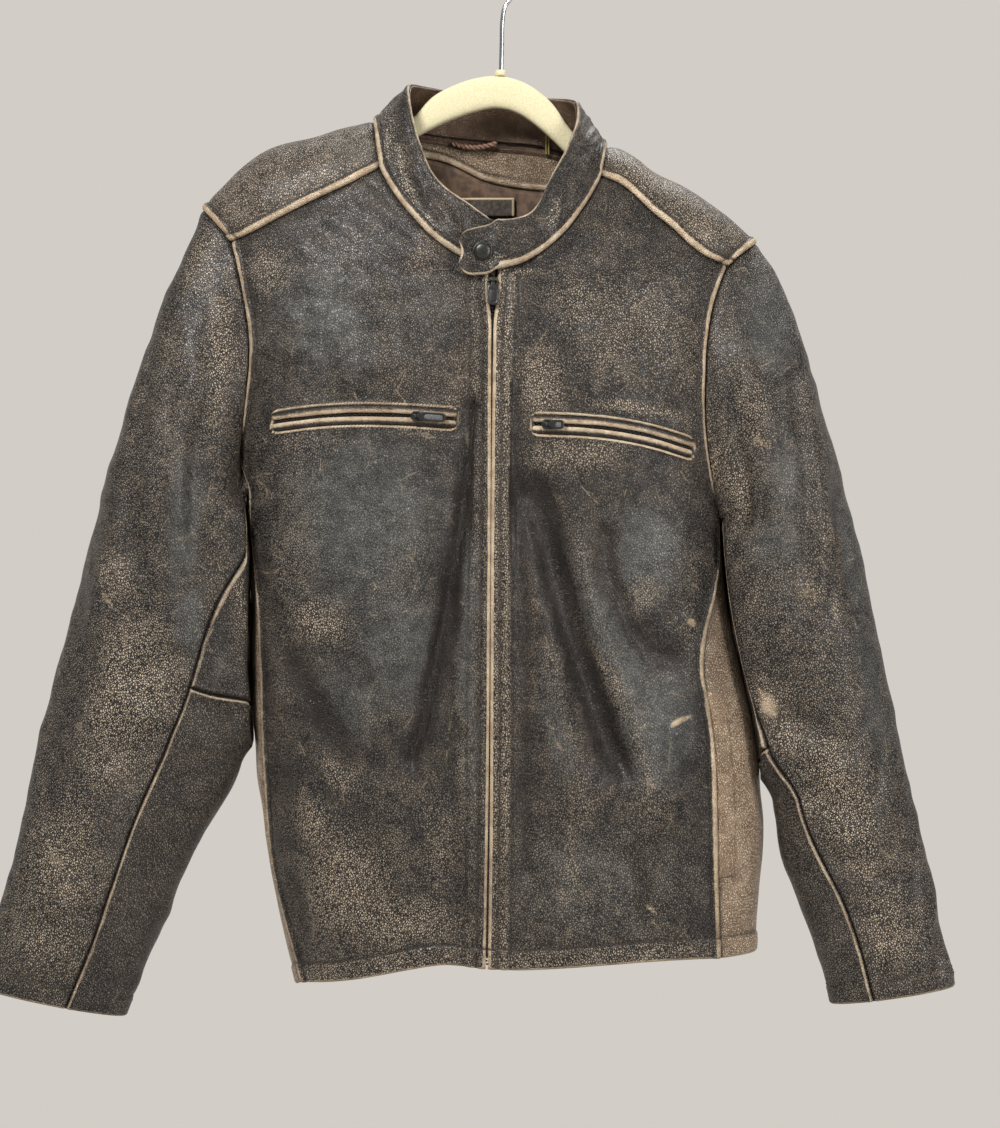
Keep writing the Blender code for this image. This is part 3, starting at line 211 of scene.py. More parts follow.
FOLDS_BACK = [
    (22, -6, [(-126, -320), (-85, -400), (-60, -480), (-50, -660), (-62, -720)]),
    (5, -2.5, [(-110, -350), (-76, -420), (-58, -500), (-50, -600)]),
    (20, -6, [(116, -340), (84, -420), (62, -500), (70, -690)]),
    (18, -5, [(-146, -590), (-120, -680), (-100, -760)]),
    (14, 5, [(-100, -560), (-82, -640), (-70, -740)]),
    (24, 4, [(5, -260), (2, -360), (8, -460)]),
    (15, -4, [(20, -520), (14, -600), (26, -700)]),
    (13, 4, [(104, -520), (112, -600), (106, -700)]),
    (10, -4, [(140, -620), (150, -700), (146, -760)]),
    (9, -3, [(-150, -300), (-110, -322), (-70, -330)]),
    (9, -3, [(60, -316), (100, -312), (136, -292)]),
]

# Sleeves at their rings: the outer and the inner edge, then the axis and the depth before and behind it,
# and where the seams towards the body lie, in degrees round from the outer edge.
SLEEVE = {
    "right": table(
        # outer x, z, inner x, z, axis y, front, back, seam
        (-239, -207, -203, -442, 0, 42, 26, 165),
        (-255, -245, -203, -450, -5, 46, 32, 158),
        (-272, -290, -203.5, -462, -8, 52, 38, 150),
        (-287, -335, -204, -480, -10, 55, 41, 143),
        (-302, -380, -204, -502, -12, 56, 42, 137),
        (-317, -430, -204, -529, -14, 54, 42, 130),
        (-331, -490, -204, -562, -16, 50, 40, 124),
        (-346, -548, -204, -603, -18, 46, 38, 116),
        (-361, -604, -208, -652, -20, 42, 36, 107),
        (-374, -665, -238, -707, -22, 38, 34, 106),
        (-386, -720, -260, -758, -24, 35, 31, 106),
        (-399, -768, -278, -799, -26, 31, 28, 107),
        (-413, -825, -298, -848, -28, 28, 25, 104),
    ),
    "left": table(
        (203, -234, 175, -461, 0, 44, 26, 165), (217, -260, 176, -470, -6, 50, 32, 160),
        (233, -294, 178, -484, -10, 54, 38, 157), (244, -332, 180, -506, -13, 56, 41, 154),
        (257, -375, 185, -532, -15, 56, 42, 152), (270, -425, 192, -566, -17, 54, 42, 150),
        (283, -480, 203, -604, -19, 50, 40, 146), (296, -538, 212, -648, -21, 46, 38, 140),
        (308, -596, 216, -690, -23, 42, 36, 132), (320, -654, 224, -731, -25, 38, 34, 124),
        (332, -708, 237, -768, -27, 34, 31, 115), (344, -762, 249, -800, -29, 30, 28, 112),
        (357, -824, 260, -838, -31, 26, 24, 111)),
}
SLEEVE_RINGS = 12
ELBOW_RING = 7
ARMHOLE_REACH = 3.2
# The sleeves stay this clear of the body's edge, and are drawn this far towards it: from the armpit down to
# where they swing free, and only where the gap is small.
SLEEVE_CLEAR = 0.1
GAP_CLOSED = 9.0
ARMPIT_FADE = (6, -14)
DRAWN_WITHIN = (34, 8)
CLOSED_DOWN_TO = {"right": (-650, -615), "left": (-680, -640)}
RING_STEP = 52.0
SLEEVE_STEP = 3.2
SLEEVE_ROUND = {"top": 250, "under": 100}
SLEEVE_HALF = 50
# A sleeve's pieces: the first and the last ring, and the edges with their styles.
SLEEVE_PIECES = {
    "top": (0, SLEEVE_RINGS, {
        "foot": ("tuck", 0), "head": ("hem", 0.9), "start": ("butt", 0.3), "end": ("butt", 0.3)}),
    "under_upper": (0, ELBOW_RING, {
        "foot": ("tuck", 0), "head": ("butt", 0.2), "start": ("butt", 0.95), "end": ("butt", 0.8)}),
    "under_lower": (ELBOW_RING, SLEEVE_RINGS, {
        "foot": ("butt", 1.0), "head": ("hem", 0.9), "start": ("butt", 1.0), "end": ("butt", 0.8)}),
}
DEGREE_STEP = 1.05

# Folds of the sleeves: lines along the rings and round from the outer edge in degrees, positive in front.
FOLDS_SLEEVE = {
    "right": [
        (9, -5.5, [(1.6, 92), (3.0, 99), (4.9, 112)]),
        (9, 4, [(1.4, 72), (3.0, 80), (4.6, 92)]),
        (13, -4, [(2.6, 28), (4.4, 48), (6.0, 74)]),
        (9, -4.5, [(6.3, 118), (6.9, 92), (7.4, 66)]),
        (8, -4, [(7.6, 112), (8.2, 86), (8.6, 58)]),
        (9, 3.5, [(7.0, 60), (7.6, 84), (7.9, 104)]),
        (10, -3.5, [(9.0, 40), (9.7, 66), (10.0, 96)]),
        (12, 4, [(5.4, 40), (6.4, 50), (7.2, 44)]),
        (8, -3, [(10.4, 104), (10.9, 74), (11.1, 50)]),
        (16, -6, [(2.0, -60), (3.4, -86), (5.0, -110)]),
        (13, -5, [(6.5, -130), (7.3, -100), (8.0, -70)]),
        (10, -4, [(8.6, -60), (9.2, -96), (9.4, -130)]),
    ],
    "left": [
        (9, -5, [(1.2, 104), (2.4, 116), (3.8, 140)]),
        (10, 4, [(0.8, 74), (2.6, 86), (4.2, 100)]),
        (12, -4, [(2.2, 40), (3.8, 60), (5.6, 88)]),
        (9, -5, [(6.4, 140), (7.2, 108), (8.0, 78)]),
        (8, -4.5, [(7.8, 132), (8.6, 100), (9.2, 70)]),
        (8, -4, [(9.0, 122), (9.8, 92), (10.4, 60)]),
        (9, 4, [(7.2, 122), (7.9, 96), (8.6, 78)]),
        (11, 4, [(8.8, 60), (9.6, 76), (10.2, 90)]),
        (12, -3.5, [(4.8, 34), (6.0, 46), (7.0, 40)]),
        (16, -6, [(2.0, -60), (3.4, -86), (5.0, -115)]),
        (13, -5, [(6.5, -125), (7.4, -96), (8.2, -70)]),
        (10, -4, [(9.0, -50), (9.6, -90), (10.0, -124)]),
    ],
}

# The collar's top edge: its height by the angle round the neck, 0 at the front and negative on the right.
COLLAR_TOP = table(
    (-180, -113), (-120, -107), (-98, -109), (-86, -116), (-76, -128), (-66, -147), (-57, -163),
    (-47, -181), (-38, -192), (-17, -209), (0, -222), (17, -221), (27, -215), (34, -205), (41, -190),
    (50, -176), (68, -153), (84, -136), (96, -124), (112, -119), (180, -113))
NECK_CENTRE = (-9, -20)
NECK_REACH = (92, 55)
COLLAR_CENTRE = (-7, -15)
COLLAR_REACH = (67, 48)
COLLAR_SWELL = 2.5
TAB = table(
    # x, bottom z, top z
    (-10, -266, -227), (-18, -267.5, -229), (-25.5, -267.5, -231), (-29.8, -265.2, -233.4),
    (-31.3, -262, -236.8), (-31.8, -258.5, -240.5),
)
TAB_LIFT = 6.4
TAB_LEAN = 1.5
TAB_PROUD = 2.6

FOLDS_COLLAR = [
    (3.2, 2.0, [(46, -202), (43, -220), (39, -234)]),
    (3.5, -1.6, [(54, -178), (50, -200), (48, -214)]),
    (5, 1.4, [(66, -166), (62, -184)]),
    (4, -1.4, [(24, -236), (30, -222)]),
    (4.5, 1.8, [(-82, -156), (-78, -182), (-66, -210)]),
    (3.5, -1.6, [(-72, -176), (-60, -204), (-46, -226)]),
    (4, 1.3, [(-52, -206), (-40, -224), (-30, -238)]),
    (4, 1.2, [(-92, -140), (-90, -156)]),
    (3.5, -1.2, [(-6, -240), (4, -236), (10, -228)]),
    (5, -1.2, [(70, -130), (72, -150)]),
]

# Chest pockets: the middle line of the zip opening, and half its height.
CHEST_POCKET = {
    "right": table((-178, -380.5), (-146, -377), (-113, -375.5), (-75, -376.5), (-37, -379)),
    "left": table((25, -383), (55, -384), (85, -386.5), (116, -392), (148, -401)),
}
POCKET_HALF = 7.8
SLOT_CORNER = 4.5

# How far in from the edge each row of stitches lies.
SEAM_INSET = 6.2
HEM_INSET = 16
ZIP_INSET = 7.8
NECK_INSET = 5.6


def smooth(rows, at, column=1):
    """A curve through the rows: cubics whose slope at a row is the mean of the chords on either side."""
    order = np.argsort(rows[:, 0])
    x = rows[order, 0]
    y = rows[order, column]
    at = np.clip(at, x[0], x[-1])
    chord = np.diff(y) / np.diff(x)
    slope = np.concatenate([chord[:1], (chord[:-1] + chord[1:]) / 2, chord[-1:]])
    i = np.clip(np.searchsorted(x, at, side="right") - 1, 0, len(x) - 2)
    step = x[i + 1] - x[i]
    t = (at - x[i]) / step
    rise = 3 * t**2 - 2 * t**3
    first = t**3 - 2 * t**2 + t
    last = t**3 - t**2
    return y[i] * (1 - rise) + y[i + 1] * rise + step * (first * slope[i] + last * slope[i + 1])


def along(rows, t):
    """Points at the fractions t of the length of a line through the rows, each row's columns kept."""
    length = np.concatenate([[0], np.cumsum(np.hypot(*np.diff(rows[:, :2], axis=0).T))])
    track = np.column_stack([length / length[-1], rows])
    return np.stack([smooth(track, t, 1 + k) for k in range(rows.shape[1])], axis=-1)


def step_up(low, high, at):
    """Runs from 0 at low to 1 at high on a soft step."""
    t = np.clip((at - low) / (high - low), 0, 1)
    return t * t * (3 - 2 * t)


def between(first, last, share):
    """The first where the share is 0 and the last where it is 1."""
    return first * (1 - share) + last * share


def unit(vectors):
    """The same directions, each 1 long."""
    return vectors / np.maximum(np.linalg.norm(vectors, axis=-1, keepdims=True), 1e-9)


def full_turn(sides):
    """Angles of this many points round a circle."""
    return np.linspace(0, 2 * math.pi, sides, endpoint=False)


def fold_depth(x, z, folds):
    """How far the folds stand out at a place: a bell of the distance from each line, fading at its ends."""
    x, z = np.broadcast_arrays(np.asarray(x, float), z)
    out = np.zeros(x.shape)
    for half, height, line in folds:
        steps = np.linalg.norm(np.diff(line, axis=0), axis=1)
        begin = np.concatenate([[0], steps.cumsum()])
        nearest = np.full(x.shape, 1e9)
        run = np.zeros(x.shape)
        for (x0, z0), (x1, z1), step, before in zip(line[:-1], line[1:], steps, begin):
            dx, dz = x1 - x0, z1 - z0
            t = np.clip(((x - x0) * dx + (z - z0) * dz) / step**2, 0, 1)
            away = (x - x0 - t * dx) ** 2 + (z - z0 - t * dz) ** 2
            run = np.where(away < nearest, before + t * step, run)
            nearest = np.minimum(nearest, away)
        fade = min(2.2 * half, begin[-1] / 2.5)
        ends = np.minimum(run, begin[-1] - run)
        out += height * np.exp(-nearest / half**2) * (0.15 + 0.85 * step_up(0, fade, ends))
    return out


def section(x, z, depth_column, slope, folds):
    """Depth of the body at x, z: a squarish oval across, drawn in towards the top of the shoulders."""
    right = smooth(TORSO, z)
    left = smooth(TORSO, z, 2)
    depth = smooth(TORSO, z, depth_column)
    across = np.clip(np.abs(2 * x - left - right) / (left - right), 0, 1)
    oval = (1 - across**SQUARENESS) ** (1 / SQUARENESS)
    up = np.clip(1 - (smooth(RIDGE, x) - z) / slope, 0, 1)
    return (depth + fold_depth(x, z, folds)) * oval * np.sqrt(1 - up**2)


def front_points(xz):
    """The front of the body over x, z."""
    y = -section(xz[..., 0], xz[..., 1], 3, FRONT_SLOPE, FOLDS_FRONT)
    return xyz(xz[..., 0], y, xz[..., 1])


def back_points(xz):
    """The back of the body over x, z."""
    y = section(xz[..., 0], xz[..., 1], 4, BACK_SLOPE, FOLDS_BACK)
    return xyz(xz[..., 0], y, xz[..., 1])


def seam_pair(low, high, w):
    """Points at the fractions w of two lines that follow each other, and the fraction where they meet."""
    size = [np.hypot(*np.diff(line[:, :2], axis=0).T).sum() for line in (low, high)]
    meet = size[0] / sum(size)
    first = along(low, np.clip(w / meet, 0, 1))
    second = along(high, np.clip((w - meet) / (1 - meet), 0, 1))
    return np.where((w <= meet)[:, None], first, second), meet


def zip_line(side):
    """x, z of a front's edge beside the zip, from the hem up to the collar."""
    sign = SIDES[side]
    z = np.linspace(HEM[side][0, 1], NECKLINE[side][0, 1], 120)
    return np.column_stack([smooth(ZIP_LINE, z) + sign * smooth(ZIP_PARTING, z), z])


def patch(inner, outer, bottom, top, u, w):
    """Fills four edges in the front view: straight rows between the sides, eased to fit hem and top."""
    u = u[None, :, None]
    w = w[:, None, None]
    rows = between(inner[:, None], outer[:, None], u)
    hem = bottom[None] - (1 - u) * bottom[0] - u * bottom[-1]
    head = top[None] - (1 - u) * top[0] - u * top[-1]
    return rows + (1 - w) * hem + w * head


def spaced(length, coarse, dense=()):
    """Fractions of a length: fine steps near both ends and in the dense stretches, and else coarse ones."""
    marks = [(0, FINE_REACH), *dense, (length - FINE_REACH, length)]
    stops = [0.0]
    at = 0.0
    while at < length - 1e-6:
        near = any(low - 1e-6 <= at < high for low, high in marks)
        ahead = [low for low, _ in marks if low > at + 1e-6]
        at = min([at + (FINE_STEP if near else coarse), length] + ([] if near else ahead))
        stops.append(at)
    return np.array(stops) / length


def front_grid(side):
    """Rows from the hem up to the yoke seam, columns from the zip out to the side seam and the armhole."""
    u = spaced(FRONT_SIZE[0], 2.5, dense=((7, 21),))
    w = spaced(FRONT_SIZE[1], 2.6, dense=((7, 20), (395, 500)))
    inner, _ = seam_pair(zip_line(side), NECKLINE[side], w)
    outer, _ = seam_pair(SIDE_SEAM[side], ARMHOLE[side], w)
    return front_points(patch(inner, outer, along(HEM[side], u), along(YOKE_SEAM[side], u), u, w))


def back_grid():
    """Rows from the hem up to the neck, columns from the right side seam across to the left one."""
    u, w = (spaced(size, 3.4) for size in BACK_SIZE)
    right, _ = seam_pair(SIDE_SEAM_BACK["right"], ARMHOLE_BACK["right"], w)
    left, _ = seam_pair(SIDE_SEAM_BACK["left"], ARMHOLE_BACK["left"], w)
    shoulder, neck = 0.37, 0.63
    top = np.where(
        (u < shoulder)[:, None], along(YOKE_SEAM_BACK["right"], np.clip(1 - u / shoulder, 0, 1)),
        np.where(
            (u < neck)[:, None], along(BACK_NECK, np.clip((u - shoulder) / (neck - shoulder), 0, 1)),
            along(YOKE_SEAM_BACK["left"], np.clip((u - neck) / (1 - neck), 0, 1))))
    return back_points(patch(right, left, along(HEM_BACK, u), top, u, w))


def yoke_points(side, u, degrees):
    """Over the shoulder from the front seam at 0 to the back seam at 180 degrees: two quarter ovals."""
    u, degrees = np.broadcast_arrays(u, degrees)
    front = front_points(along(YOKE_SEAM[side], u))
    back = back_points(along(YOKE_SEAM_BACK[side], u))
    x = YOKE_RIDGE[side][0] + (YOKE_RIDGE[side][1] - YOKE_RIDGE[side][0]) * u
    top = xyz(x, 0, smooth(RIDGE, x))
    foot = np.where((degrees <= 90)[..., None], front, back)
    rise = np.sin(np.radians(degrees))[..., None]
    points = foot + (top - foot) * rise
    points[..., 1] = foot[..., 1] * np.abs(np.cos(np.radians(degrees)))
    return points


def yoke_grid(side):
    """Columns from the neck out to the armhole, rows from the front seam over to the back one."""
    return yoke_points(side, spaced(YOKE_SIZE[0], 2.6)[None, :], 180 * spaced(YOKE_SIZE[1], 2.6)[:, None])


def side_points(side, t, share):
    """Round the side on the body's own oval: t runs up from the hem, share from front to back seam."""
    sign = SIDES[side]
    front = along(SIDE_SEAM[side], t)
    back = along(SIDE_SEAM_BACK[side], t)
    ends = []
    for seam in (front, back):
        right, left = (smooth(TORSO, seam[..., 1], k) for k in (1, 2))
        reach = np.abs(2 * seam[..., 0] - left - right) / (left - right)
        ends.append(np.arccos(np.minimum(1, reach) ** (SQUARENESS / 2)))
    turn = between(-ends[0], ends[1], share)
    z = between(front[..., 1], back[..., 1], share)
    dip = HEM_SIDE[side] * (1 - t) + ARMPIT[side][1] * t - (front[..., 1] + back[..., 1]) / 2
    z = z + dip * np.sin(math.pi * share)
    middle = (smooth(TORSO, z) + smooth(TORSO, z, 2)) / 2
    half = np.abs(smooth(TORSO, z, EDGE_COLUMN[side]) - middle)
    depth = np.where(turn < 0, smooth(TORSO, z, 3), smooth(TORSO, z, 4))
    x = middle + sign * half * np.cos(turn) ** (2 / SQUARENESS)
    y = np.sign(turn) * depth * np.abs(np.sin(turn)) ** (2 / SQUARENESS)
    points = xyz(x, y, z)
    # The folds of the fronts and the back are not on the oval, so the seams are met over the outer tenths.
    for column, line, away in ((0, front_points(front), share), (-1, back_points(back), 1 - share)):
        ease = np.clip(1 - away / SEAM_EASE, 0, 1)[..., None] ** 2
        points = points + ease * (line[:, column] - points[:, column])[:, None]
    return points


def side_grid(side):
    """Rows from the hem up to the armpit, columns from the front seam round to the back one."""
    share, t = (spaced(size, 2.8) for size in SIDE_SIZE)
    return side_points(side, *np.broadcast_arrays(t[:, None], share[None, :]))


def armhole_points(side, index):
    """The armhole as the sleeve's top meets it: up the front, over the yoke, and down the back."""
    over = ROWS_ARMHOLE + len(YOKE_ANGLES) - 1
    front = front_points(along(ARMHOLE[side], np.clip(index / ROWS_ARMHOLE, 0, 1)))
    degrees = np.interp(index - ROWS_ARMHOLE, np.arange(len(YOKE_ANGLES)), YOKE_ANGLES)
    yoke = yoke_points(side, np.ones_like(degrees), degrees)
    down = np.clip((over + ROWS_ARMHOLE - index) / ROWS_ARMHOLE, 0, 1)
    back = back_points(along(ARMHOLE_BACK[side], down))
    return np.where((index < ROWS_ARMHOLE)[:, None], front, np.where((index < over)[:, None], yoke, back))


def sleeve_ring(side, ring):
    """The eight measures of a sleeve at a ring, or between two."""
    rows = np.column_stack([np.arange(len(SLEEVE[side])), SLEEVE[side]])
    return [smooth(rows, ring, 1 + k) for k in range(8)]


def sleeve_points(side, ring, turn):
    """Ovals between the outer and the inner edge, each half with its own depth, and folds out of them."""
    x0, z0, x1, z1, axis, front, back, _ = sleeve_ring(side, ring)
    c, s = np.cos(turn), np.sin(turn)
    depth = np.where(s > 0, front, back)
    degrees = np.degrees(turn)
    degrees = np.where(degrees > 180, degrees - 360, degrees)
    scale = np.array([RING_STEP, DEGREE_STEP])
    folds = [(half, height, np.array(line) * scale) for half, height, line in FOLDS_SLEEVE[side]]
    out = 1 + fold_depth(ring * RING_STEP, degrees * DEGREE_STEP, folds) / SLEEVE_HALF
    x = (x0 + x1) / 2 + (x0 - x1) / 2 * c * out
    z = (z0 + z1) / 2 + (z0 - z1) / 2 * c * out
    return xyz(x, axis - depth * s * out, z)


def clear_of_body(side, points):
    """Keeps what hangs beside the body outside its edge, and draws it against that edge near the armpit."""
    sign = SIDES[side]
    top, foot = (ARMPIT[side][1] + by for by in ARMPIT_FADE)
    z = points[..., 2]
    edge = smooth(TORSO, z, EDGE_COLUMN[side])
    gap = sign * (points[..., 0] - edge)
    drawn = GAP_CLOSED * step_up(*CLOSED_DOWN_TO[side], z) * step_up(top, foot, z)
    gap = np.maximum(gap - drawn * step_up(*DRAWN_WITHIN, gap), SLEEVE_CLEAR)
    out = points.copy()
    out[..., 0] = np.where(z < top, edge + sign * gap, points[..., 0])
    return out


def rings_between(first, last):
    """Where the rows of a sleeve's piece lie, counted in rings."""
    return first + (last - first) * spaced((last - first) * RING_STEP, SLEEVE_STEP)[:, None]


def sleeve_grid(side, part, first, last):
    """Rings from the armhole to the cuff: the first is the armhole itself, and the next ease from it."""
    share = spaced(SLEEVE_ROUND[part], SLEEVE_STEP)
    if part == "top":
        edge = armhole_points(side, share * (2 * ROWS_ARMHOLE + len(YOKE_ANGLES) - 1))
    else:
        edge = side_points(side, *np.broadcast_arrays(np.ones((1, 1)), share[None, :]))[0]
    x0, z0, x1, z1, _, front, back, _ = sleeve_ring(side, 0)
    half = math.hypot(x0 - x1, z0 - z1) / 2
    out = (edge[:, 0] - (x0 + x1) / 2) * (x0 - x1) + (edge[:, 2] - (z0 + z1) / 2) * (z0 - z1)
    start = np.arctan2(-edge[:, 1] / np.where(edge[:, 1] < 0, front, back), out / half**2 / 2)
    if part == "under":
        start = np.where(start < 0, start + 2 * math.pi, start)
    missing = edge - sleeve_points(side, np.zeros(len(edge)), start)
    ring = rings_between(first, last)
    seam = np.radians(sleeve_ring(side, ring)[7])
    whole = -2 * seam if part == "top" else 2 * math.pi - 2 * seam
    ease = np.maximum(0, 1 - ring / ARMHOLE_REACH) ** 1.5
    turn = between(seam + whole * share, start, ease)
    grid = sleeve_points(side, np.broadcast_to(ring, turn.shape), turn) + missing * ease[..., None]
    grid = clear_of_body(side, grid)
    if first == 0:
        grid[0] = edge
    return grid


def lengths(grid, axis):
    """How far along the grid lines each point lies from the first row or column."""
    steps = np.linalg.norm(np.diff(grid, axis=axis), axis=-1)
    start = np.zeros_like(np.take(steps, [0], axis=axis))
    return np.cumsum(np.concatenate([start, steps], axis=axis), axis=axis)


def grid_normals(grid, hint):
    """Unit normals of a grid of points, on the side of the hint: a vector, or one for each point."""
    normal = unit(np.cross(np.gradient(grid, axis=0), np.gradient(grid, axis=1)))
    return normal * np.sign((normal * hint).sum(axis=-1).mean() or 1)


def run_of(line):
    """How far along the line each of its points lies."""
    return np.concatenate([[0], np.cumsum(np.linalg.norm(np.diff(line, axis=0), axis=1))])


def sampled(line, run, at):
    """Points on a line at distances along it, given how far along its own points lie."""
    return np.stack([np.interp(at, run, line[:, k]) for k in range(3)], axis=-1)


def resample(line, step):
    """The line's points at even steps of about this length."""
    run = run_of(line)
    at = np.linspace(0, run[-1], max(2, int(round(run[-1] / step)) + 1))
    return sampled(line, run, at)


def neck_line():
    """The neck seam from the right front's zip round the back to the left front's zip."""
    t = np.linspace(0, 1, 90)
    over = 180 * np.linspace(0, 1, 60)
    pieces = [
        front_points(along(NECKLINE["right"], t)),
        yoke_points("right", np.zeros(60), over),
        back_points(along(BACK_NECK, t)),
        yoke_points("left", np.zeros(60), over[::-1]),
        front_points(along(NECKLINE["left"], t[::-1])),
    ]
    return resample(np.concatenate([pieces[0], *(piece[1:] for piece in pieces[1:])]), 1.7)


def collar_grid():
    """A band from the neck seam to the top edge, swelling a little, with a tab that laps at the front."""
    foot = neck_line()
    cx, cy = NECK_CENTRE
    angle = np.arctan2((foot[:, 0] - cx) / NECK_REACH[0], -(foot[:, 1] - cy) / NECK_REACH[1])
    top = np.column_stack([
        COLLAR_CENTRE[0] + COLLAR_REACH[0] * np.sin(angle),
        COLLAR_CENTRE[1] - COLLAR_REACH[1] * np.cos(angle),
        smooth(COLLAR_TOP, np.degrees(angle)),
    ])
    left = np.linalg.norm(np.diff(foot, axis=0), axis=1)[::-1].cumsum()[::-1]
    left = np.append(left, 0)
    lift = TAB_LIFT * np.interp(left, [0, 21, 42], [1, 0.55, 0])
    foot[:, 1] -= lift
    top[:, 1] -= lift * TAB_LEAN
    start = [foot[-1, 0], foot[-1, 2], top[-1, 2]]
    rows = np.column_stack([np.arange(len(TAB) + 1), np.vstack([start, TAB])])
    at = np.linspace(0, len(TAB), 22)[1:]
    x, low, high = (smooth(rows, at, k) for k in (1, 2, 3))
    front = foot[-1, 1]
    back = top[-1, 1]
    height = np.minimum(1, (high - low) / (TAB[0, 2] - TAB[0, 1]))
    middle = (front + back) / 2 - TAB_PROUD * step_up(1.5, 4.5, at)
    foot = np.concatenate([foot, np.column_stack([x, middle + (front - back) / 2 * height, low])])
    top = np.concatenate([top, np.column_stack([x, middle + (back - front) / 2 * height, high])])
    away = np.column_stack([np.sin(angle), -np.cos(angle), 0 * angle])
    away = np.concatenate([away, np.tile((0.0, -1.0, 0.0), (len(at), 1))])
    t = np.linspace(0, 1, 30)[:, None, None]
    return between(foot[None], top[None], t) + COLLAR_SWELL * np.sin(math.pi * t) * away[None]


LATTICE = np.random.default_rng(7).random((64, 64))


def noise(a, b, scale, shift):
    """Smooth random values from -1 to 1 over two lengths: a lattice of random numbers, eased between."""
    a = a / scale + shift * 7.31
    b = b / scale + shift * 3.77
    i = np.floor(a).astype(int)
    j = np.floor(b).astype(int)
    p = a - i
    q = b - j
    p = p * p * (3 - 2 * p)
    q = q * q * (3 - 2 * q)
    low = LATTICE[i % 64, j % 64] * (1 - p) + LATTICE[(i + 1) % 64, j % 64] * p
    high = LATTICE[i % 64, (j + 1) % 64] * (1 - p) + LATTICE[(i + 1) % 64, (j + 1) % 64] * p
    return 2 * (low * (1 - q) + high * q) - 1


def bell(distance, centre, width):
    """A soft bump, 1 high, round one distance."""
    return np.exp(-(((distance - centre) / width) ** 2))


# The styles of a panel's edge, by the distance in from it. First how the face rolls up from the edge: a
# height, the reach of the quarter round, and the step back down. Then bells, each a height, a place and a
# width, that are added to that. Then the pale rubbed rim, as a height and a step, with a pale bell beside
# it. Then the bells of painted shade in the crevice: in the stitch grooves and under a neighbour's lap.
# Last, how far the edge is drawn out past the seam, and the ripples beside its stitches: their place and
# height.
EDGES = {
    # Turned under and stitched down: a puffed band, a groove at the stitches, lying over its neighbour.
    "lap": ((1.8, 1.6, 7.5, 4.2), [(-0.6, 6.2, 1.0)], (1, 5.8, 2.6), (0, 0, 1), [(0.95, 6.3, 0.95)],
            0.7, (3.2, 0.35)),
    # Runs in under its neighbour, with painted shadow along it where the neighbour laps over.
    "tuck": ((0, 1, 1, 0), [(-1.9, 0, 2.6)], (0, 1, 0), (0, 0, 1), [(1, 0, 3.4)], 1.2, (0, 0)),
    # Folded back beside the zip: a round edge, a stitched groove, a low ridge, and the facing's end.
    "roll": ((1.4, 2.6, 10, 4), [(-0.8, 7.2, 1.3), (1.1, 12.8, 2.2), (-0.7, 17.5, 1.5)], (1.3, 2.9, 2.0),
             (0.42, 12.8, 1.5), [(0.7, 7.4, 2.2), (0.6, 17.5, 1.4)], 0.0, (4.8, 0.8)),
    # Turned up: thick at the edge, with a groove where it is stitched 16 mm up.
    "hem": ((1.1, 1.8, 19, 13), [(-0.9, 16, 1.3)], (1, 3.2, 0.5), (0.44, 13.2, 1.7), [(0.85, 16, 1.3)],
            0.0, (11.5, 0.9)),
    # Sewn face to face and opened flat: both sides turn down into one groove.
    "butt": ((0, 1, 1, 0), [(0.9, 3.2, 2.0), (-1.9, 0, 1.3)], (0, 1, 0), (1.1, 2.1, 1.0), [(1.4, 0, 1.0)],
             0.0, (0, 0)),
    # The collar's top and its end: rolled, with a pale line and a shallow groove inside it.
    "top": ((1.1, 2.4, 8, 4), [(-0.5, 5.4, 1.0)], (1, 2.4, 1.0), (0, 0, 1), [(0.4, 5.2, 1.2)], 0.0, (0, 0)),
}
PUCKER_WIDTH = 2.6


def edge_profile(kind, d):
    """How far the face stands out, how pale it is, and how much painted shade lies in its grooves, at a
    distance in from the edge.
    """
    (height, reach, *down), bells, (rim, *fade), beside, dark = EDGES[kind][:5]
    out = height * np.sqrt(np.clip(d / reach, 0, 1)) * step_up(*down, d)
    for tall, *at in bells:
        out = out + tall * bell(d, *at)
    pale = np.maximum(rim * step_up(*fade, d), beside[0] * bell(d, *beside[1:]))
    return out, pale, sum(tall * bell(d, *at) for tall, *at in dark)


# How a face is worn: rubbed to tan, to bare pale hide, smooth and grey, or on the grain's tops only. The
# last channel, dark, is mostly painted shade in grooves, folds and turned-away sides, with some darker
# tone.
CHANNELS = ("tan", "pale", "grey", "spark", "dark")


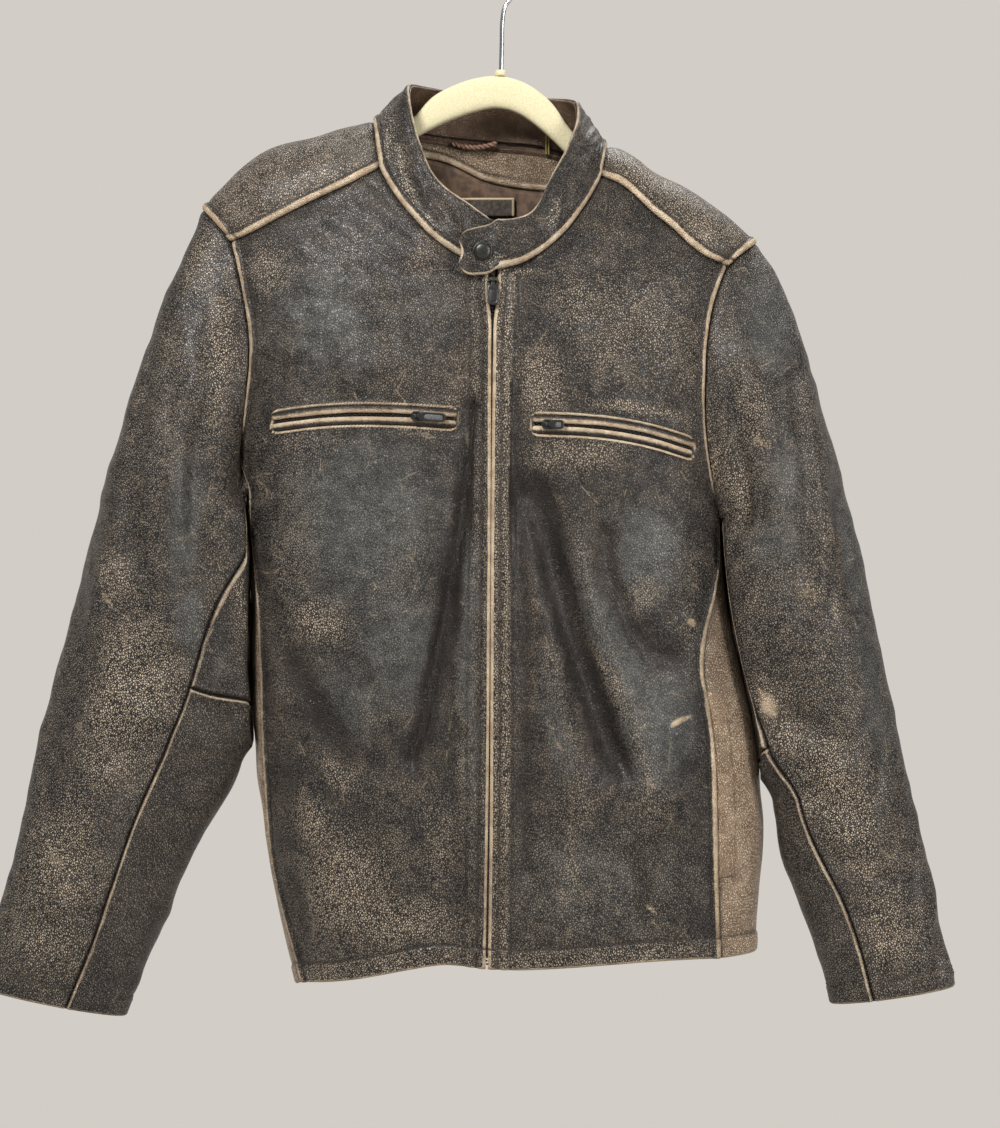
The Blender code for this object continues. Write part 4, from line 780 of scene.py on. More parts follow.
class Panel:
    """One piece of leather: its face as a grid, with the wear and the painted shade at each point."""

    def __init__(self, name, grid, hint, **edges):
        self.name = name
        self.grid = grid
        self.normal = grid_normals(grid, hint)
        rows = lengths(grid, 0)
        columns = lengths(grid, 1)
        self.down = rows
        self.across = columns
        self.reach = {
            "foot": rows, "head": rows[-1:] - rows, "start": columns, "end": columns[:, -1:] - columns}
        for channel in ("lift", *CHANNELS):
            setattr(self, channel, np.zeros(grid.shape[:2]))
        self.seed = sum(map(ord, name)) % 23
        for edge, (style, strength) in edges.items():
            self.finish_edge(edge, style, strength)

    def finish_edge(self, edge, style, strength):
        """Rolls, tucks or turns up one edge; a list of ends and styles changes the style along it."""
        d = self.reach[edge]
        spans = [(1.0, style)] if isinstance(style, str) else style
        level = edge in ("foot", "head")
        run = self.across if level else self.down
        share = run / np.maximum(run.max(axis=1 if level else 0, keepdims=True), 1e-9)
        uneven = d * (1 + 0.12 * noise(run, 0 * d, 9, self.seed)) + 0.08 * noise(run, d, 2.6, self.seed + 2)
        worn = np.clip(0.95 + 0.3 * noise(run, d, 19, self.seed + 1), 0.5, 1.1)
        extend = np.zeros(share.shape)
        begin = -1.0
        for end, kind in spans:
            mask = (share > begin) & (share <= end)
            out, _, dark = edge_profile(kind, d)
            pale = edge_profile(kind, np.maximum(uneven, 0))[1]
            overlap, (at, height) = EDGES[kind][5:]
            ripples = height * noise(run, 0 * d, 3.9, self.seed + 3)
            self.lift += mask * (out + ripples * bell(d, at, PUCKER_WIDTH))
            # The profile's dark is painted shade in the stitch grooves and under the neighbour's lap.
            self.at_least(pale=mask * pale * strength * worn, dark=mask * dark)
            extend += mask * overlap
            begin = end
        rim, inner = (0, 1) if edge in ("foot", "start") else (-1, -2)
        axis = 0 if level else 1
        outward = unit(np.take(self.grid, rim, axis=axis) - np.take(self.grid, inner, axis=axis))
        self.grid = self.grid + np.expand_dims(outward, axis) * (extend * bell(d, 0, 1.6))[..., None]

    def at_least(self, **values):
        """Raises each channel to a value wherever it lies below it."""
        for channel, value in values.items():
            setattr(self, channel, np.maximum(getattr(self, channel), value))

    def ripple(self, size, height, shift, stretch=1.0):
        """Low random waves over the panel, stilled towards its edges."""
        still = np.minimum.reduce([step_up(0, 14, d) for d in self.reach.values()])
        self.lift += still * height * noise(self.across / stretch, self.down, size, shift)

    def face(self):
        """The grid with its lift."""
        return self.grid + self.normal * self.lift[..., None]

    def at_inset(self, edge, inset, pitch, begin, end):
        """A line of points on the face, this far in from an edge, with the normals there."""
        d = self.reach[edge]
        face = self.face()
        normal = self.normal
        if edge in ("foot", "head"):
            d, face, normal = d.T, face.transpose(1, 0, 2), normal.transpose(1, 0, 2)
        if edge in ("head", "end"):
            d, face, normal = d[:, ::-1], face[:, ::-1], normal[:, ::-1]
        after = np.clip((d < inset).sum(axis=1), 1, d.shape[1] - 1)
        row = np.arange(len(d))
        share = (inset - d[row, after - 1]) / np.maximum(d[row, after] - d[row, after - 1], 1e-9)
        line, up = (
            between(grid[row, after - 1], grid[row, after], share[:, None]) for grid in (face, normal))
        run = run_of(line)
        at = np.arange(begin * run[-1] + pitch / 2, end * run[-1], pitch)
        return sampled(line, run, at), sampled(up, run, at)


def mesh_object(name, points, quads, attributes=None):
    """A smooth-shaded object from points in millimetres and an array of four-cornered faces."""
    mesh = bpy.data.meshes.new(name)
    points = np.asarray(points, float).reshape(-1, 3)
    quads = np.asarray(quads, int)
    mesh.vertices.add(len(points))
    mesh.vertices.foreach_set("co", (points * MM).astype(np.float32).ravel())
    mesh.loops.add(quads.size)
    mesh.loops.foreach_set("vertex_index", quads.ravel().astype(np.int32))
    mesh.polygons.add(len(quads))
    mesh.polygons.foreach_set("loop_start", np.arange(0, quads.size, quads.shape[1], dtype=np.int32))
    mesh.update(calc_edges=True)
    mesh.validate()
    for key, values in (attributes or {}).items():
        layer = mesh.attributes.new(key, "FLOAT_COLOR", "POINT")
        layer.data.foreach_set("color", np.asarray(values, np.float32).ravel())
    mesh.shade_smooth()
    made = bpy.data.objects.new(name, mesh)
    bpy.context.scene.collection.objects.link(made)
    return made


def grid_quads(rows, columns, round_rows=False, round_columns=False):
    """The faces between the points of a grid, closed round in either way where asked."""
    at = np.arange(rows * columns).reshape(rows, columns)
    if round_rows:
        at = np.concatenate([at, at[:1]])
    if round_columns:
        at = np.concatenate([at, at[:, :1]], axis=1)
    return np.stack([at[:-1, :-1], at[:-1, 1:], at[1:, 1:], at[1:, :-1]], -1).reshape(-1, 4)


def shell_faces(rows, columns, face, normal):
    """Faces of a closed shell whose outer grid is followed by its inner one: both sides and the rim."""
    n = rows * columns
    quads = grid_quads(rows, columns)
    middle = quads[len(quads) // 2 + columns // 2]
    flat = face.reshape(-1, 3)
    turned = np.cross(flat[middle[1]] - flat[middle[0]], flat[middle[3]] - flat[middle[0]])
    at = np.arange(n).reshape(rows, columns)
    rim = np.concatenate([at[0, :-1], at[:-1, -1], at[-1, :0:-1], at[:0:-1, 0]])
    ahead = np.roll(rim, -1)
    sides = np.stack([rim, rim + n, ahead + n, ahead], -1)
    if turned @ normal.reshape(-1, 3)[middle[0]] < 0:
        quads = quads[:, ::-1]
        sides = sides[:, ::-1]
    return np.concatenate([quads, quads[:, ::-1] + n, sides])


def finish_piece(made, finish, nodes=(), body=BODY):
    """Its finish, the body that it rides on, and the solids that it stands for."""
    made.data.materials.append(finish)
    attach(made, body)
    if nodes:
        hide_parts(*nodes)


def add_piece(name, mesh, finish, nodes=(), body=BODY):
    """An object from points and faces, finished."""
    finish_piece(mesh_object(name, *mesh), finish, nodes, body)


def cut_cloth(panel, finish, nodes, thickness=LEATHER):
    """The panel as a closed shell that stands for its solid."""
    face = panel.face()
    rows, columns = face.shape[:2]
    points = np.concatenate([face.reshape(-1, 3), (face - panel.normal * thickness).reshape(-1, 3)])
    none, full = np.zeros_like(panel.pale), np.ones_like(panel.pale)
    wear = np.stack([panel.pale, panel.tan, panel.grey, full], -1).reshape(-1, 4)
    tone = np.stack([panel.dark, none, panel.spark, full], -1).reshape(-1, 4)
    inside = tone.copy()
    inside[:, 1] = 1
    made = mesh_object(
        panel.name, points, shell_faces(rows, columns, face, panel.normal),
        {"wear": np.concatenate([wear, wear * [0, 0, 0, 1]]), "tone": np.concatenate([tone, inside])})
    finish_piece(made, finish, nodes)


def front_at(x, z):
    """The fronts' face at x, z."""
    return front_points(np.stack(np.broadcast_arrays(x, z), axis=-1).astype(float))


def slot_distance(side, x, z):
    """How far a place lies outside (or, below zero, inside) the rounded slot of a chest pocket."""
    line = CHEST_POCKET[side]
    low, high = line[:, 0].min() - 1.0, line[:, 0].max() + 1.0
    tilt = smooth(line, x + 1) - smooth(line, x - 1)
    over = np.abs(z - smooth(line, x)) * np.cos(np.arctan(tilt / 2))
    a = np.maximum(np.maximum(low - x, x - high) + SLOT_CORNER, 0)
    b = np.maximum(over - POCKET_HALF + SLOT_CORNER, 0)
    inner = np.maximum(np.maximum(low - x, x - high), over - POCKET_HALF)
    return np.where((a > 0) | (b > 0), np.hypot(a, b) - SLOT_CORNER, np.minimum(inner, -SLOT_CORNER))


def make_fronts(leather):
    """Each front from the zip round to the side, with the slot of its chest pocket let in."""
    for side in SIDES:
        _, meet_zip = seam_pair(zip_line(side), NECKLINE[side], np.zeros(1))
        _, meet_side = seam_pair(SIDE_SEAM[side], ARMHOLE[side], np.zeros(1))
        panel = Panel(f"front_{side}_leather", front_grid(side), FORWARD,
                      foot=("hem", 0.9), head=("tuck", 0), end=("lap", 0.9),
                      start=([(meet_zip, "roll"), (1, "tuck")], 1.0 if side == "left" else 0.75))
        panel.ripple(34, 1.5, 1.1 if side == "right" else 4.2, 0.7)
        panel.ripple(13, 0.55, 2.3 if side == "right" else 5.2, 0.8)
        out = slot_distance(side, panel.grid[..., 0], panel.grid[..., 2])
        near = step_up(10, 3, out)
        panel.lift = panel.lift * (1 - near) + 0.7 * bell(out, 1.2, 1.2) - 3.2 * step_up(0.2, -1.4, out)
        panel.at_least(pale=1.1 * bell(out, 0.9, 1.0))
        # Painted shade: dark inside the pocket's slot, and a faint dark ring in the shallow groove round
        # its rim.
        panel.at_least(dark=step_up(0.1, -1.0, out))
        panel.at_least(dark=0.25 * bell(out, 3.4, 1.2))
        paint_wear_and_shade(panel, WEAR_AND_SHADE_FRONT)
        panel.at_least(spark=0.75 * step_up(26, 8, panel.reach["foot"]))
        rim = np.minimum.reduce([panel.reach[edge] for edge in ("head", "end", "start")])
        patchy = 0.4 + 0.6 * noise(panel.down, panel.across, 30, 8)
        panel.at_least(dark=0.42 * step_up(34, 9, rim) * patchy)
        placket = step_up(18, 14, panel.reach["start"]) * (panel.grid[..., 2] < ZIP_TOP)
        panel.at_least(spark=(0.9 if side == "left" else 0.5) * placket)
        panel.at_least(tan=(0.45 if side == "left" else 0.15) * placket)
        # Painted shade in the fold troughs: darker and browner there, without the grey. The ridges get
        # paler grain tops, partly rubbing and partly a painted highlight.
        folds = fold_depth(panel.grid[..., 0], panel.grid[..., 2], FOLDS_FRONT)
        trough = step_up(0.6, 6.4, -folds)
        panel.grey *= 1 - trough
        panel.at_least(tan=0.25 * trough)
        panel.at_least(dark=0.86 * trough)
        panel.at_least(spark=0.5 * np.clip(folds / 6, 0, 1))
        cut_cloth(panel, leather, [f"front_{side}"])
        stitches(panel, "end", SEAM_INSET, "armhole", meet_side, 1)
        stitches(panel, "start", ZIP_INSET, "zip", 0, meet_zip)
        stitches(panel, "foot", HEM_INSET, "hem")


def make_back(leather):
    """One panel from side seam to side seam."""
    _, meet = seam_pair(SIDE_SEAM_BACK["right"], ARMHOLE_BACK["right"], np.zeros(1))
    panel = Panel("back_leather", back_grid(), -FORWARD, foot=("hem", 0.9), head=("tuck", 0),
                  start=([(meet, "butt"), (1, "lap")], 0.8), end=([(meet, "butt"), (1, "lap")], 0.8))
    panel.ripple(38, 1.7, 7.7, 0.7)
    panel.ripple(14, 0.6, 8.3, 0.8)
    paint_wear_and_shade(panel, WEAR_BACK)
    cut_cloth(panel, leather, ["back"])
    stitches(panel, "foot", HEM_INSET, "hem")
    for edge in ("start", "end"):
        stitches(panel, edge, SEAM_INSET, "armhole", meet, 1)


def make_sides(leather):
    """A narrow panel under each arm."""
    for side, sign in SIDES.items():
        panel = Panel(f"side_{side}_leather", side_grid(side), np.array([sign, 0, 0]),
                      foot=("hem", 0.6), head=("tuck", 0), start=("tuck", 0), end=("butt", 0.5))
        panel.ripple(26, 1.0, 9.1 + sign)
        panel.spark += 0.45
        # Painted shade over the upper part, under the arm.
        panel.at_least(dark=0.5 * step_up(-660, -520, panel.grid[..., 2]))
        cut_cloth(panel, leather, [f"side_{side}"])


def make_yokes(leather):
    """The shoulders, lapped over the fronts and the back."""
    for side in SIDES:
        panel = Panel(f"yoke_{side}_leather", yoke_grid(side), np.array([0, 0, 1]),
                      foot=("lap", 1.0), head=("lap", 0.8), start=("tuck", 0), end=("lap", 0.9))
        panel.ripple(24, 0.8, 10.3 + len(side))
        paint_wear_and_shade(panel, WEAR_YOKE)
        cut_cloth(
            panel, leather, [f"yoke_{side}"])
        for edge in ("foot", "head", "end"):
            stitches(panel, edge, SEAM_INSET, "seam_" + edge)


def sleeve_hint(side, grid, ring):
    """The way from the sleeve's middle out to each point."""
    x0, z0, x1, z1, axis = sleeve_ring(side, ring)[:5]
    return grid - xyz((x0 + x1) / 2, axis, (z0 + z1) / 2)


def make_sleeves(leather):
    """Each in three pieces, darker where they turn away from the front and on the under pieces: painted
    shade.
    """
    for side in SIDES:
        seed = 20.0 if side == "right" else 30.0
        for part, (first, last, edges) in SLEEVE_PIECES.items():
            grid = sleeve_grid(side, "top" if part == "top" else "under", first, last)
            hint = sleeve_hint(side, grid, rings_between(first, last))
            panel = Panel(f"sleeve_{part}_{side}_leather", grid, hint, **edges)
            panel.ripple(30, 1.6, seed + first, 1.4)
            panel.ripple(12, 0.6, seed + first + 3, 1.2)
            panel.grid = clear_of_body(side, panel.grid)
            paint_wear_and_shade(panel, WEAR_AND_SHADE_SLEEVE)
            panel.spark = np.clip(panel.spark + (0.2 if side == "right" else 0.3), 0, 1)
            panel.tan = np.clip(panel.tan + (0.12 if part == "top" else 0.02), 0, 1)
            panel.spark *= 1 - 0.6 * panel.grey
            # Painted shade: the under pieces darker throughout, and every piece darker, with fewer pale
            # grain tops, where it turns away from the front.
            panel.at_least(dark=0.0 if part == "top" else 0.34)
            turned = step_up(-0.62, -0.12, panel.normal[..., 1])
            panel.at_least(dark=0.42 * turned)
            panel.spark *= 1 - 0.6 * turned
            cut_cloth(panel, leather, [f"sleeve_{part}_{side}"])
            if last == SLEEVE_RINGS:
                stitches(panel, "head", HEM_INSET, "cuff")


def make_collar(leather):
    """The collar's outer leather with its folds, and its plain inner one."""
    grid = collar_grid()
    centre = np.array([*NECK_CENTRE, -180])
    foot = lengths(grid, 1)[0]
    outer = Panel("collar_outer_leather", grid, grid - centre,
                  foot=([(foot[-22] / foot[-1], "lap"), (1, "top")], 0.95), head=("top", 0.85),
                  start=("tuck", 0), end=("top", 1.3))
    outer.ripple(18, 0.9, 40.0, 0.55)
    outer.ripple(9, 0.35, 41.0, 0.6)
    front = outer.normal[..., 1] < 0
    folds = fold_depth(outer.grid[..., 0], outer.grid[..., 2], FOLDS_COLLAR) * front
    outer.lift += folds * step_up(0, 6, np.minimum(outer.reach["foot"], outer.reach["head"]))
    # Darker overall, with painted shade in the fold troughs; paler grain tops on the ridges, partly rubbing
    # and partly a painted highlight.
    outer.dark += 0.16 + 0.3 * step_up(0.2, 1.6, -folds)
    outer.at_least(spark=0.8 * step_up(0.3, 1.8, folds))
    paint_wear_and_shade(outer, WEAR_AND_SHADE_COLLAR)
    cut_cloth(
        outer, leather, ["collar_outer"])
    inner = Panel("collar_inner_leather", grid - outer.normal * (LEATHER + 0.4), grid - centre)
    inner.grid[:3] = inner.grid[3]
    inner.tan += 0.15
    cut_cloth(inner, leather, ["collar_inner"])
    stitches(outer, "foot", NECK_INSET, "neck")


# Worn places, as blots on the leather, each with its share of the channels; those left out are zero. The
# dark channel's blots are mostly painted shade: on the sleeves' turning edges, where sleeve and body meet,
# and in the fold troughs of the fronts and the collar.
WEAR_AND_SHADE_FRONT = [
    # x, z, reach across, reach up, degrees, then tan, pale, grey, spark, dark
    (-108, -458, 76, 84, 8, 0, 0, 0.9), (-80, -552, 42, 66, 20, 0, 0, 0.9),
    (-122, -600, 42, 42, 0, 0, 0, 0.7), (-26, -540, 8, 170, 0, 0, 0, 0.85),
    (-138, -300, 56, 56, 0, 0, 0, 0.7, 0.1), (-66, -300, 34, 50, 0, 0, 0, 0.5, 0.3),
    (-141, -534, 26, 17, -20, 0.35, 0.05, 0, 1.0), (-160, -470, 22, 60, 0, 0.3, 0, 0, 0.45),
    (-150, -697, 18, 26, 10, 0.5, 0.2, 0, 1.0), (-124, -742, 46, 46, 0, 0.6, 0.04, 0, 0.9),
    (-86, -770, 60, 22, 0, 0.5, 0.05, 0, 0.9), (-124, -650, 14, 22, 30, 0.2, 0.05, 0, 0.9),
    (-29, -394, 3, 7, 14, 0.5, 0.8, 0, 0.5), (-34, -372, 8, 22, 6, 0.4, 0.05, 0, 0.5),
    (-30, -349, 17, 52, 0, 0.55, 0, 0, 0.3), (-60, -250, 26, 12, 40, 0.5, 0.1, 0, 0.5),
    (-185, -262, 16, 20, 0, 0.4, 0.2, 0, 0.7), (-70, -378, 60, 12, 0, 0.3, 0.05, 0, 0.5),
    (-150, -398, 40, 9, 0, 0.3, 0.05, 0, 0.5), (-48, -712, 18, 46, 0, 0.4, 0.05, 0, 0.6),
    (-92, -610, 10, 7, 30, 0.2, 0.35, 0, 0.6), (-168, -690, 9, 90, 0, 0, 0, 0, 0.1, 0.4),
    (-186, -560, 8, 80, 0, 0, 0, 0, 0, 0.45), (30, -350, 18, 34, 12, 0.8, 0.12, 0, 0.9),
    (54, -405, 46, 17, 12, 0.5, 0.05, 0, 0.8), (107, -488, 40, 48, 0, 0, 0, 0.95),
    (84, -552, 19, 72, 22, 0, 0, 0.95), (122, -622, 36, 52, 0, 0, 0, 1.0),
    (42, -622, 13, 50, 8, 0, 0, 0.8, 0.1), (110, -512, 15, 14, 30, 0.4, 0.05, 0, 1.0),
    (22, -520, 12, 110, 0, 0.35, 0, 0, 0.15, 0.2), (76, -566, 6, 76, 27, 0.35, 0.12, 0, 1.0),
    (110, -640, 6, 40, 24, 0.25, 0.05, 0, 0.9), (58, -730, 6, 46, 14, 0.35, 0.1, 0, 0.9),
    (76, -738, 78, 50, 0, 0.05, 0, 0.6, 0.45), (108, -312, 52, 46, 0, 0.4, 0, 0.1, 0.6),
    (106, -371, 46, 6, -13, 0.6, 0.08, 0, 1.0), (150, -330, 14, 46, 0, 0.45, 0.1, 0, 0.5),
    (60, -290, 30, 26, 0, 0.4, 0, 0.1, 0.6), (148, -545, 7, 30, 0, 0.2, 0.2, 0, 0.6),
    (140, -615, 12, 3.5, 24, 0.3, 0.75, 0, 0.4), (149, -537, 4, 6, 0, 0.3, 0.8, 0, 0.4),
    (115, -762, 3, 9, 30, 0.3, 0.7, 0, 0.4), (-30, -640, 5, 90, 0, 0, 0, 0, 0.6),
]
WEAR_AND_SHADE_COLLAR = [
    (-76, -184, 5, 34, 22, 0.35, 0.05, 0, 1.0), (-56, -226, 22, 5, -42, 0.4, 0.1, 0, 1.0),
    (-92, -150, 8, 22, 6, 0.3, 0, 0, 0.8), (-36, -228, 10, 12, 0, 0, 0, 0, 0, 0.5),
    (42, -218, 3, 20, -12, 0.2, 0.05, 0, 0.9), (-4, -258, 16, 6, 6, 0.35, 0.1, 0, 0.9),
    (66, -178, 8, 24, -14, 0, 0, 0, 0, 0.4), (20, -240, 14, 10, 20, 0, 0, 0, 0.1, 0.45),
    (70, -146, 10, 16, 0, 0.2, 0, 0, 0.5),
]
WEAR_BACK = [
    (-60, -220, 60, 26, -10, 0.4, 0.05, 0, 0.7), (70, -235, 50, 22, 12, 0.4, 0.05, 0, 0.7),
    (0, -420, 90, 110, 0, 0, 0, 0.9), (-90, -560, 40, 80, 12, 0, 0, 0.8),
    (110, -560, 44, 90, -10, 0, 0, 0.8), (0, -730, 150, 40, 0, 0.15, 0, 0, 0.8),
    (-150, -430, 20, 60, 0, 0.4, 0.05, 0, 0.5), (140, -420, 20, 60, 0, 0.4, 0.05, 0, 0.5),
    (30, -620, 16, 60, 0, 0.2, 0, 0, 0.8),
]
WEAR_AND_SHADE_SLEEVE = [
    (-244, -538, 11, 32, -10, 0, 0, 1.0), (-248, -460, 14, 76, -8, 0, 0, 0.85, 0, 0.1),
    (-223, -566, 8, 30, -8, 0, 0, 0.8, 0, 0.1), (-206, -521, 5, 26, 0, 0.3, 0, 0, 1.0),
    (-318, -480, 12, 60, -16, 0, 0, 0.2, 0, 0.3), (-330, -600, 12, 80, -16, 0, 0, 0.2, 0, 0.3),
    (-298, -690, 20, 60, -20, 0, 0, 0.5, 0.1, 0.15), (212, -474, 26, 26, 10, 0, 0, 0.85),
    (272, -480, 12, 70, 12, 0, 0, 0.9, 0, 0.22), (290, -590, 12, 70, 12, 0, 0, 0.9, 0, 0.22),
    (252, -590, 20, 40, 16, 0.1, 0, 0.35, 0.3), (186, -545, 6, 60, 8, 0.1, 0, 0, 0.1, 0.45),
    (262, -740, 12, 60, 20, 0, 0, 0.3, 0, 0.25), (-206, -440, 8, 60, 0, 0.1, 0, 0, 0.1, 0.35),
    (-288, -590, 34, 62, -14, 0.12, 0, 0, 0.95), (-300, -505, 14, 22, 20, 0.6, 0.1, 0, 0.6),
    (-305, -520, 3.5, 12, 35, 0.4, 0.6, 0, 0.4), (-340, -722, 34, 54, -14, 0.35, 0, 0, 0.7),
    (-352, -812, 40, 16, -10, 0, 0, 0, 0.2, 0.3), (300, -815, 40, 18, 10, 0, 0, 0, 0.2, 0.25),
    (-347, -720, 14, 7, 0, 0.4, 0.45, 0, 0.5), (-222, -330, 9, 60, -4, 0.2, 0, 0, 0.7),
    (-262, -400, 30, 70, -10, 0, 0, 0.35, 0.25), (-300, -650, 26, 40, 0, 0.3, 0, 0, 0.7),
    (-352, -790, 34, 30, 0, 0.25, 0, 0, 0.6), (-238, -250, 12, 26, -20, 0.5, 0.15, 0, 0.6),
    (223, -420, 26, 48, 10, 0.1, 0, 0.7, 0.1), (202, -400, 7, 7, 0, 1.0, 0.5, 0, 0.8),
    (170, -416, 5, 16, 0, 0.9, 0.2, 0, 0.6), (186, -440, 12, 34, 6, 0.5, 0, 0, 0.6),
    (240, -513, 12, 9, 20, 0.5, 0.45, 0, 0.7), (262, -528, 5, 15, 15, 0.5, 0.45, 0, 0.5),
    (255, -460, 5, 34, 12, 0.45, 0.2, 0, 0.5), (205, -600, 7, 17, 25, 1.0, 0.65, 0, 0.8),
    (222, -620, 14, 24, 25, 0.6, 0.1, 0, 0.7), (286, -727, 22, 8, 16, 0.8, 0.25, 0, 0.7),
    (262, -675, 28, 60, 16, 0.25, 0, 0, 0.75), (300, -775, 26, 40, 16, 0.2, 0, 0, 0.7),
    (225, -520, 22, 40, 10, 0, 0, 0.5, 0.2), (212, -300, 30, 58, 14, 0, 0, 0.85, 0, 0.14),
    (196, -372, 12, 26, 10, 0.3, 0, 0, 0.4),
]
WEAR_YOKE = [
    (-160, -190, 60, 30, 20, 0.2, 0, 0.2, 0.5), (-120, -165, 30, 14, 10, 0, 0, 0.6, 0.3),
    (130, -205, 50, 30, -30, 0.35, 0.04, 0, 0.5), (112, -178, 34, 24, -30, 0.5, 0.3, 0, 1.0),
    (70, -160, 24, 18, -20, 0.4, 0.2, 0, 0.9), (156, -224, 24, 14, -30, 0.3, 0.15, 0, 0.8),
]


def paint_wear_and_shade(panel, table):
    """Adds each blot to the panel: an oval that fades from its middle, turned by an angle."""
    x = panel.grid[..., 0] + 5 * noise(panel.down, panel.across, 17, 3)
    z = panel.grid[..., 2] + 5 * noise(panel.down, panel.across, 17, 6)
    facing = panel.normal[..., 1] < 0.35 if table is not WEAR_BACK else np.ones(x.shape, bool)
    for cx, cz, across, up, degrees, *amounts in table:
        c, s = math.cos(math.radians(degrees)), math.sin(math.radians(degrees))
        a = ((x - cx) * c + (z - cz) * s) / across
        b = ((z - cz) * c - (x - cx) * s) / up
        spot = np.exp(-((a**2 + b**2) ** 1.4)) * facing
        panel.at_least(**{channel: amount * spot for channel, amount in zip(CHANNELS, amounts)})


STITCH = (2.3, 0.8, 0.55)
STITCH_PITCH = 3.7
THREADS = []


def stitches(panel, edge, inset, name, begin=0.0, end=1.0):
    """A row of short threads, each a six-sided bar with blunt ends that is sunk at both ends."""
    line, up = panel.at_inset(edge, inset, STITCH_PITCH, begin, end)
    if len(line) < 3:
        return
    ahead = unit(np.gradient(line, axis=0))
    across = np.cross(up, ahead)
    length, width, height = STITCH
    stations = table((-0.5, 0.45, -0.2), (-0.32, 1, 0.28), (0.32, 1, 0.28), (0.5, 0.45, -0.2))
    reach, girth, rise = stations.T[..., None]
    turn = np.radians(np.arange(0, 360, 60))
    points = (
        line[:, None, None]
        + ahead[:, None, None] * (reach * length)[None, :, :, None]
        + across[:, None, None] * (girth * np.cos(turn) * width / 2)[None, :, :, None]
        + up[:, None, None] * (rise * height + girth * np.sin(turn) * height / 2)[None, :, :, None])
    one = np.concatenate([
        grid_quads(4, 6, round_columns=True),
        [[0, 1, 2, 3], [0, 3, 4, 5], [21, 20, 19, 18], [23, 22, 21, 18]]])
    faces = (one[None] + 24 * np.arange(len(line))[:, None, None]).reshape(-1, 4)
    made = mesh_object(f"stitches_{panel.name}_{edge}_{name}".replace("_leather", ""), points, faces)
    THREADS.append(made)


def cap_quads(ring):
    """Closes a ring of an even number of points with a fan of four-cornered faces."""
    ring = np.asarray(ring)
    return np.array([[ring[0], ring[i], ring[i + 1], ring[i + 2]] for i in range(1, len(ring) - 2, 2)])


def closed_rings(rings):
    """Points and outward faces of a solid whose sections are the rings, capped at its ends."""
    rows, sides = rings.shape[:2]
    quads = grid_quads(rows, sides, round_columns=True)
    at = np.arange(rows * sides).reshape(rows, sides)
    return facing_out(rings, np.concatenate([quads, cap_quads(at[0])[:, ::-1], cap_quads(at[-1])]))


def closed_grid(rings):
    """Points and outward faces of a solid whose grid of points closes on itself both ways."""
    return facing_out(rings, grid_quads(*rings.shape[:2], round_rows=True, round_columns=True))


def facing_out(points, faces):
    """The faces turned round if they bound less than nothing."""
    points = points.reshape(-1, 3)
    return points, faces if volume(points, faces) > 0 else faces[:, ::-1]


def volume(points, faces):
    """Six times the volume inside a closed mesh of four-cornered faces, below zero if it is inside out."""
    a, b, c, d = (points[faces[:, k]] for k in range(4))
    return (np.cross(a, b) * c).sum() + (np.cross(a, c) * d).sum()


def tube(path, across, out, sides):
    """An oval section, `across` by `out`, carried along a path, with rounded ends."""
    path = np.asarray(path, float)
    across, out = (np.broadcast_to(np.asarray(value, float), len(path)).copy() for value in (across, out))
    ahead = unit(np.gradient(path, axis=0))
    wide = unit(np.cross(ahead, np.broadcast_to(FORWARD, path.shape)))
    high = np.cross(wide, ahead)
    quarter = np.linspace(0.12, math.pi / 2, 5)[:-1]
    scale, ahead_by = np.sin(quarter), np.cos(quarter)
    small = np.minimum(across, out)
    heads = path[0] - ahead[0] * small[0] * ahead_by[:, None]
    tails = path[-1] + ahead[-1] * small[-1] * ahead_by[::-1, None]
    path = np.concatenate([heads, path, tails])
    across, out = (
        np.concatenate([half[0] * scale, half, half[-1] * scale[::-1]]) for half in (across, out))
    wide, high = (
        np.concatenate([np.repeat(way[:1], len(scale), 0), way, np.repeat(way[-1:], len(scale), 0)])
        for way in (wide, high))
    turn = full_turn(sides)
    rings = (
        path[:, None] + wide[:, None] * (across[:, None] * np.cos(turn))[..., None]
        + high[:, None] * (out[:, None] * np.sin(turn))[..., None])
    return closed_rings(rings)


def superellipse(half_x, half_z, power, turn):
    """An oval that nears a rectangle as the power grows."""
    c, s = np.cos(turn), np.sin(turn)
    return half_x * np.sign(c) * np.abs(c) ** (2 / power), half_z * np.sign(s) * np.abs(s) ** (2 / power)


def lozenge(half_x, half_z, low, high, edge, power=3.0, centre=(0.0, 0.0), sides=28):
    """A flat piece in x and z: a rounded outline, its front and back edges eased by a quarter round."""
    turn = full_turn(sides)
    ease = np.linspace(0, math.pi / 2, 4)
    inset = np.concatenate([edge * (1 - np.sin(ease)), edge * (1 - np.cos(ease))])
    y = np.concatenate([low + edge * (1 - np.cos(ease)), high - edge * (1 - np.sin(ease))])
    rings = []
    for shrink, depth in zip(inset, y):
        x, z = superellipse(half_x - shrink, half_z - shrink, power, turn)
        rings.append(xyz(centre[0] + x, depth, centre[1] + z))
    return closed_rings(np.array(rings))


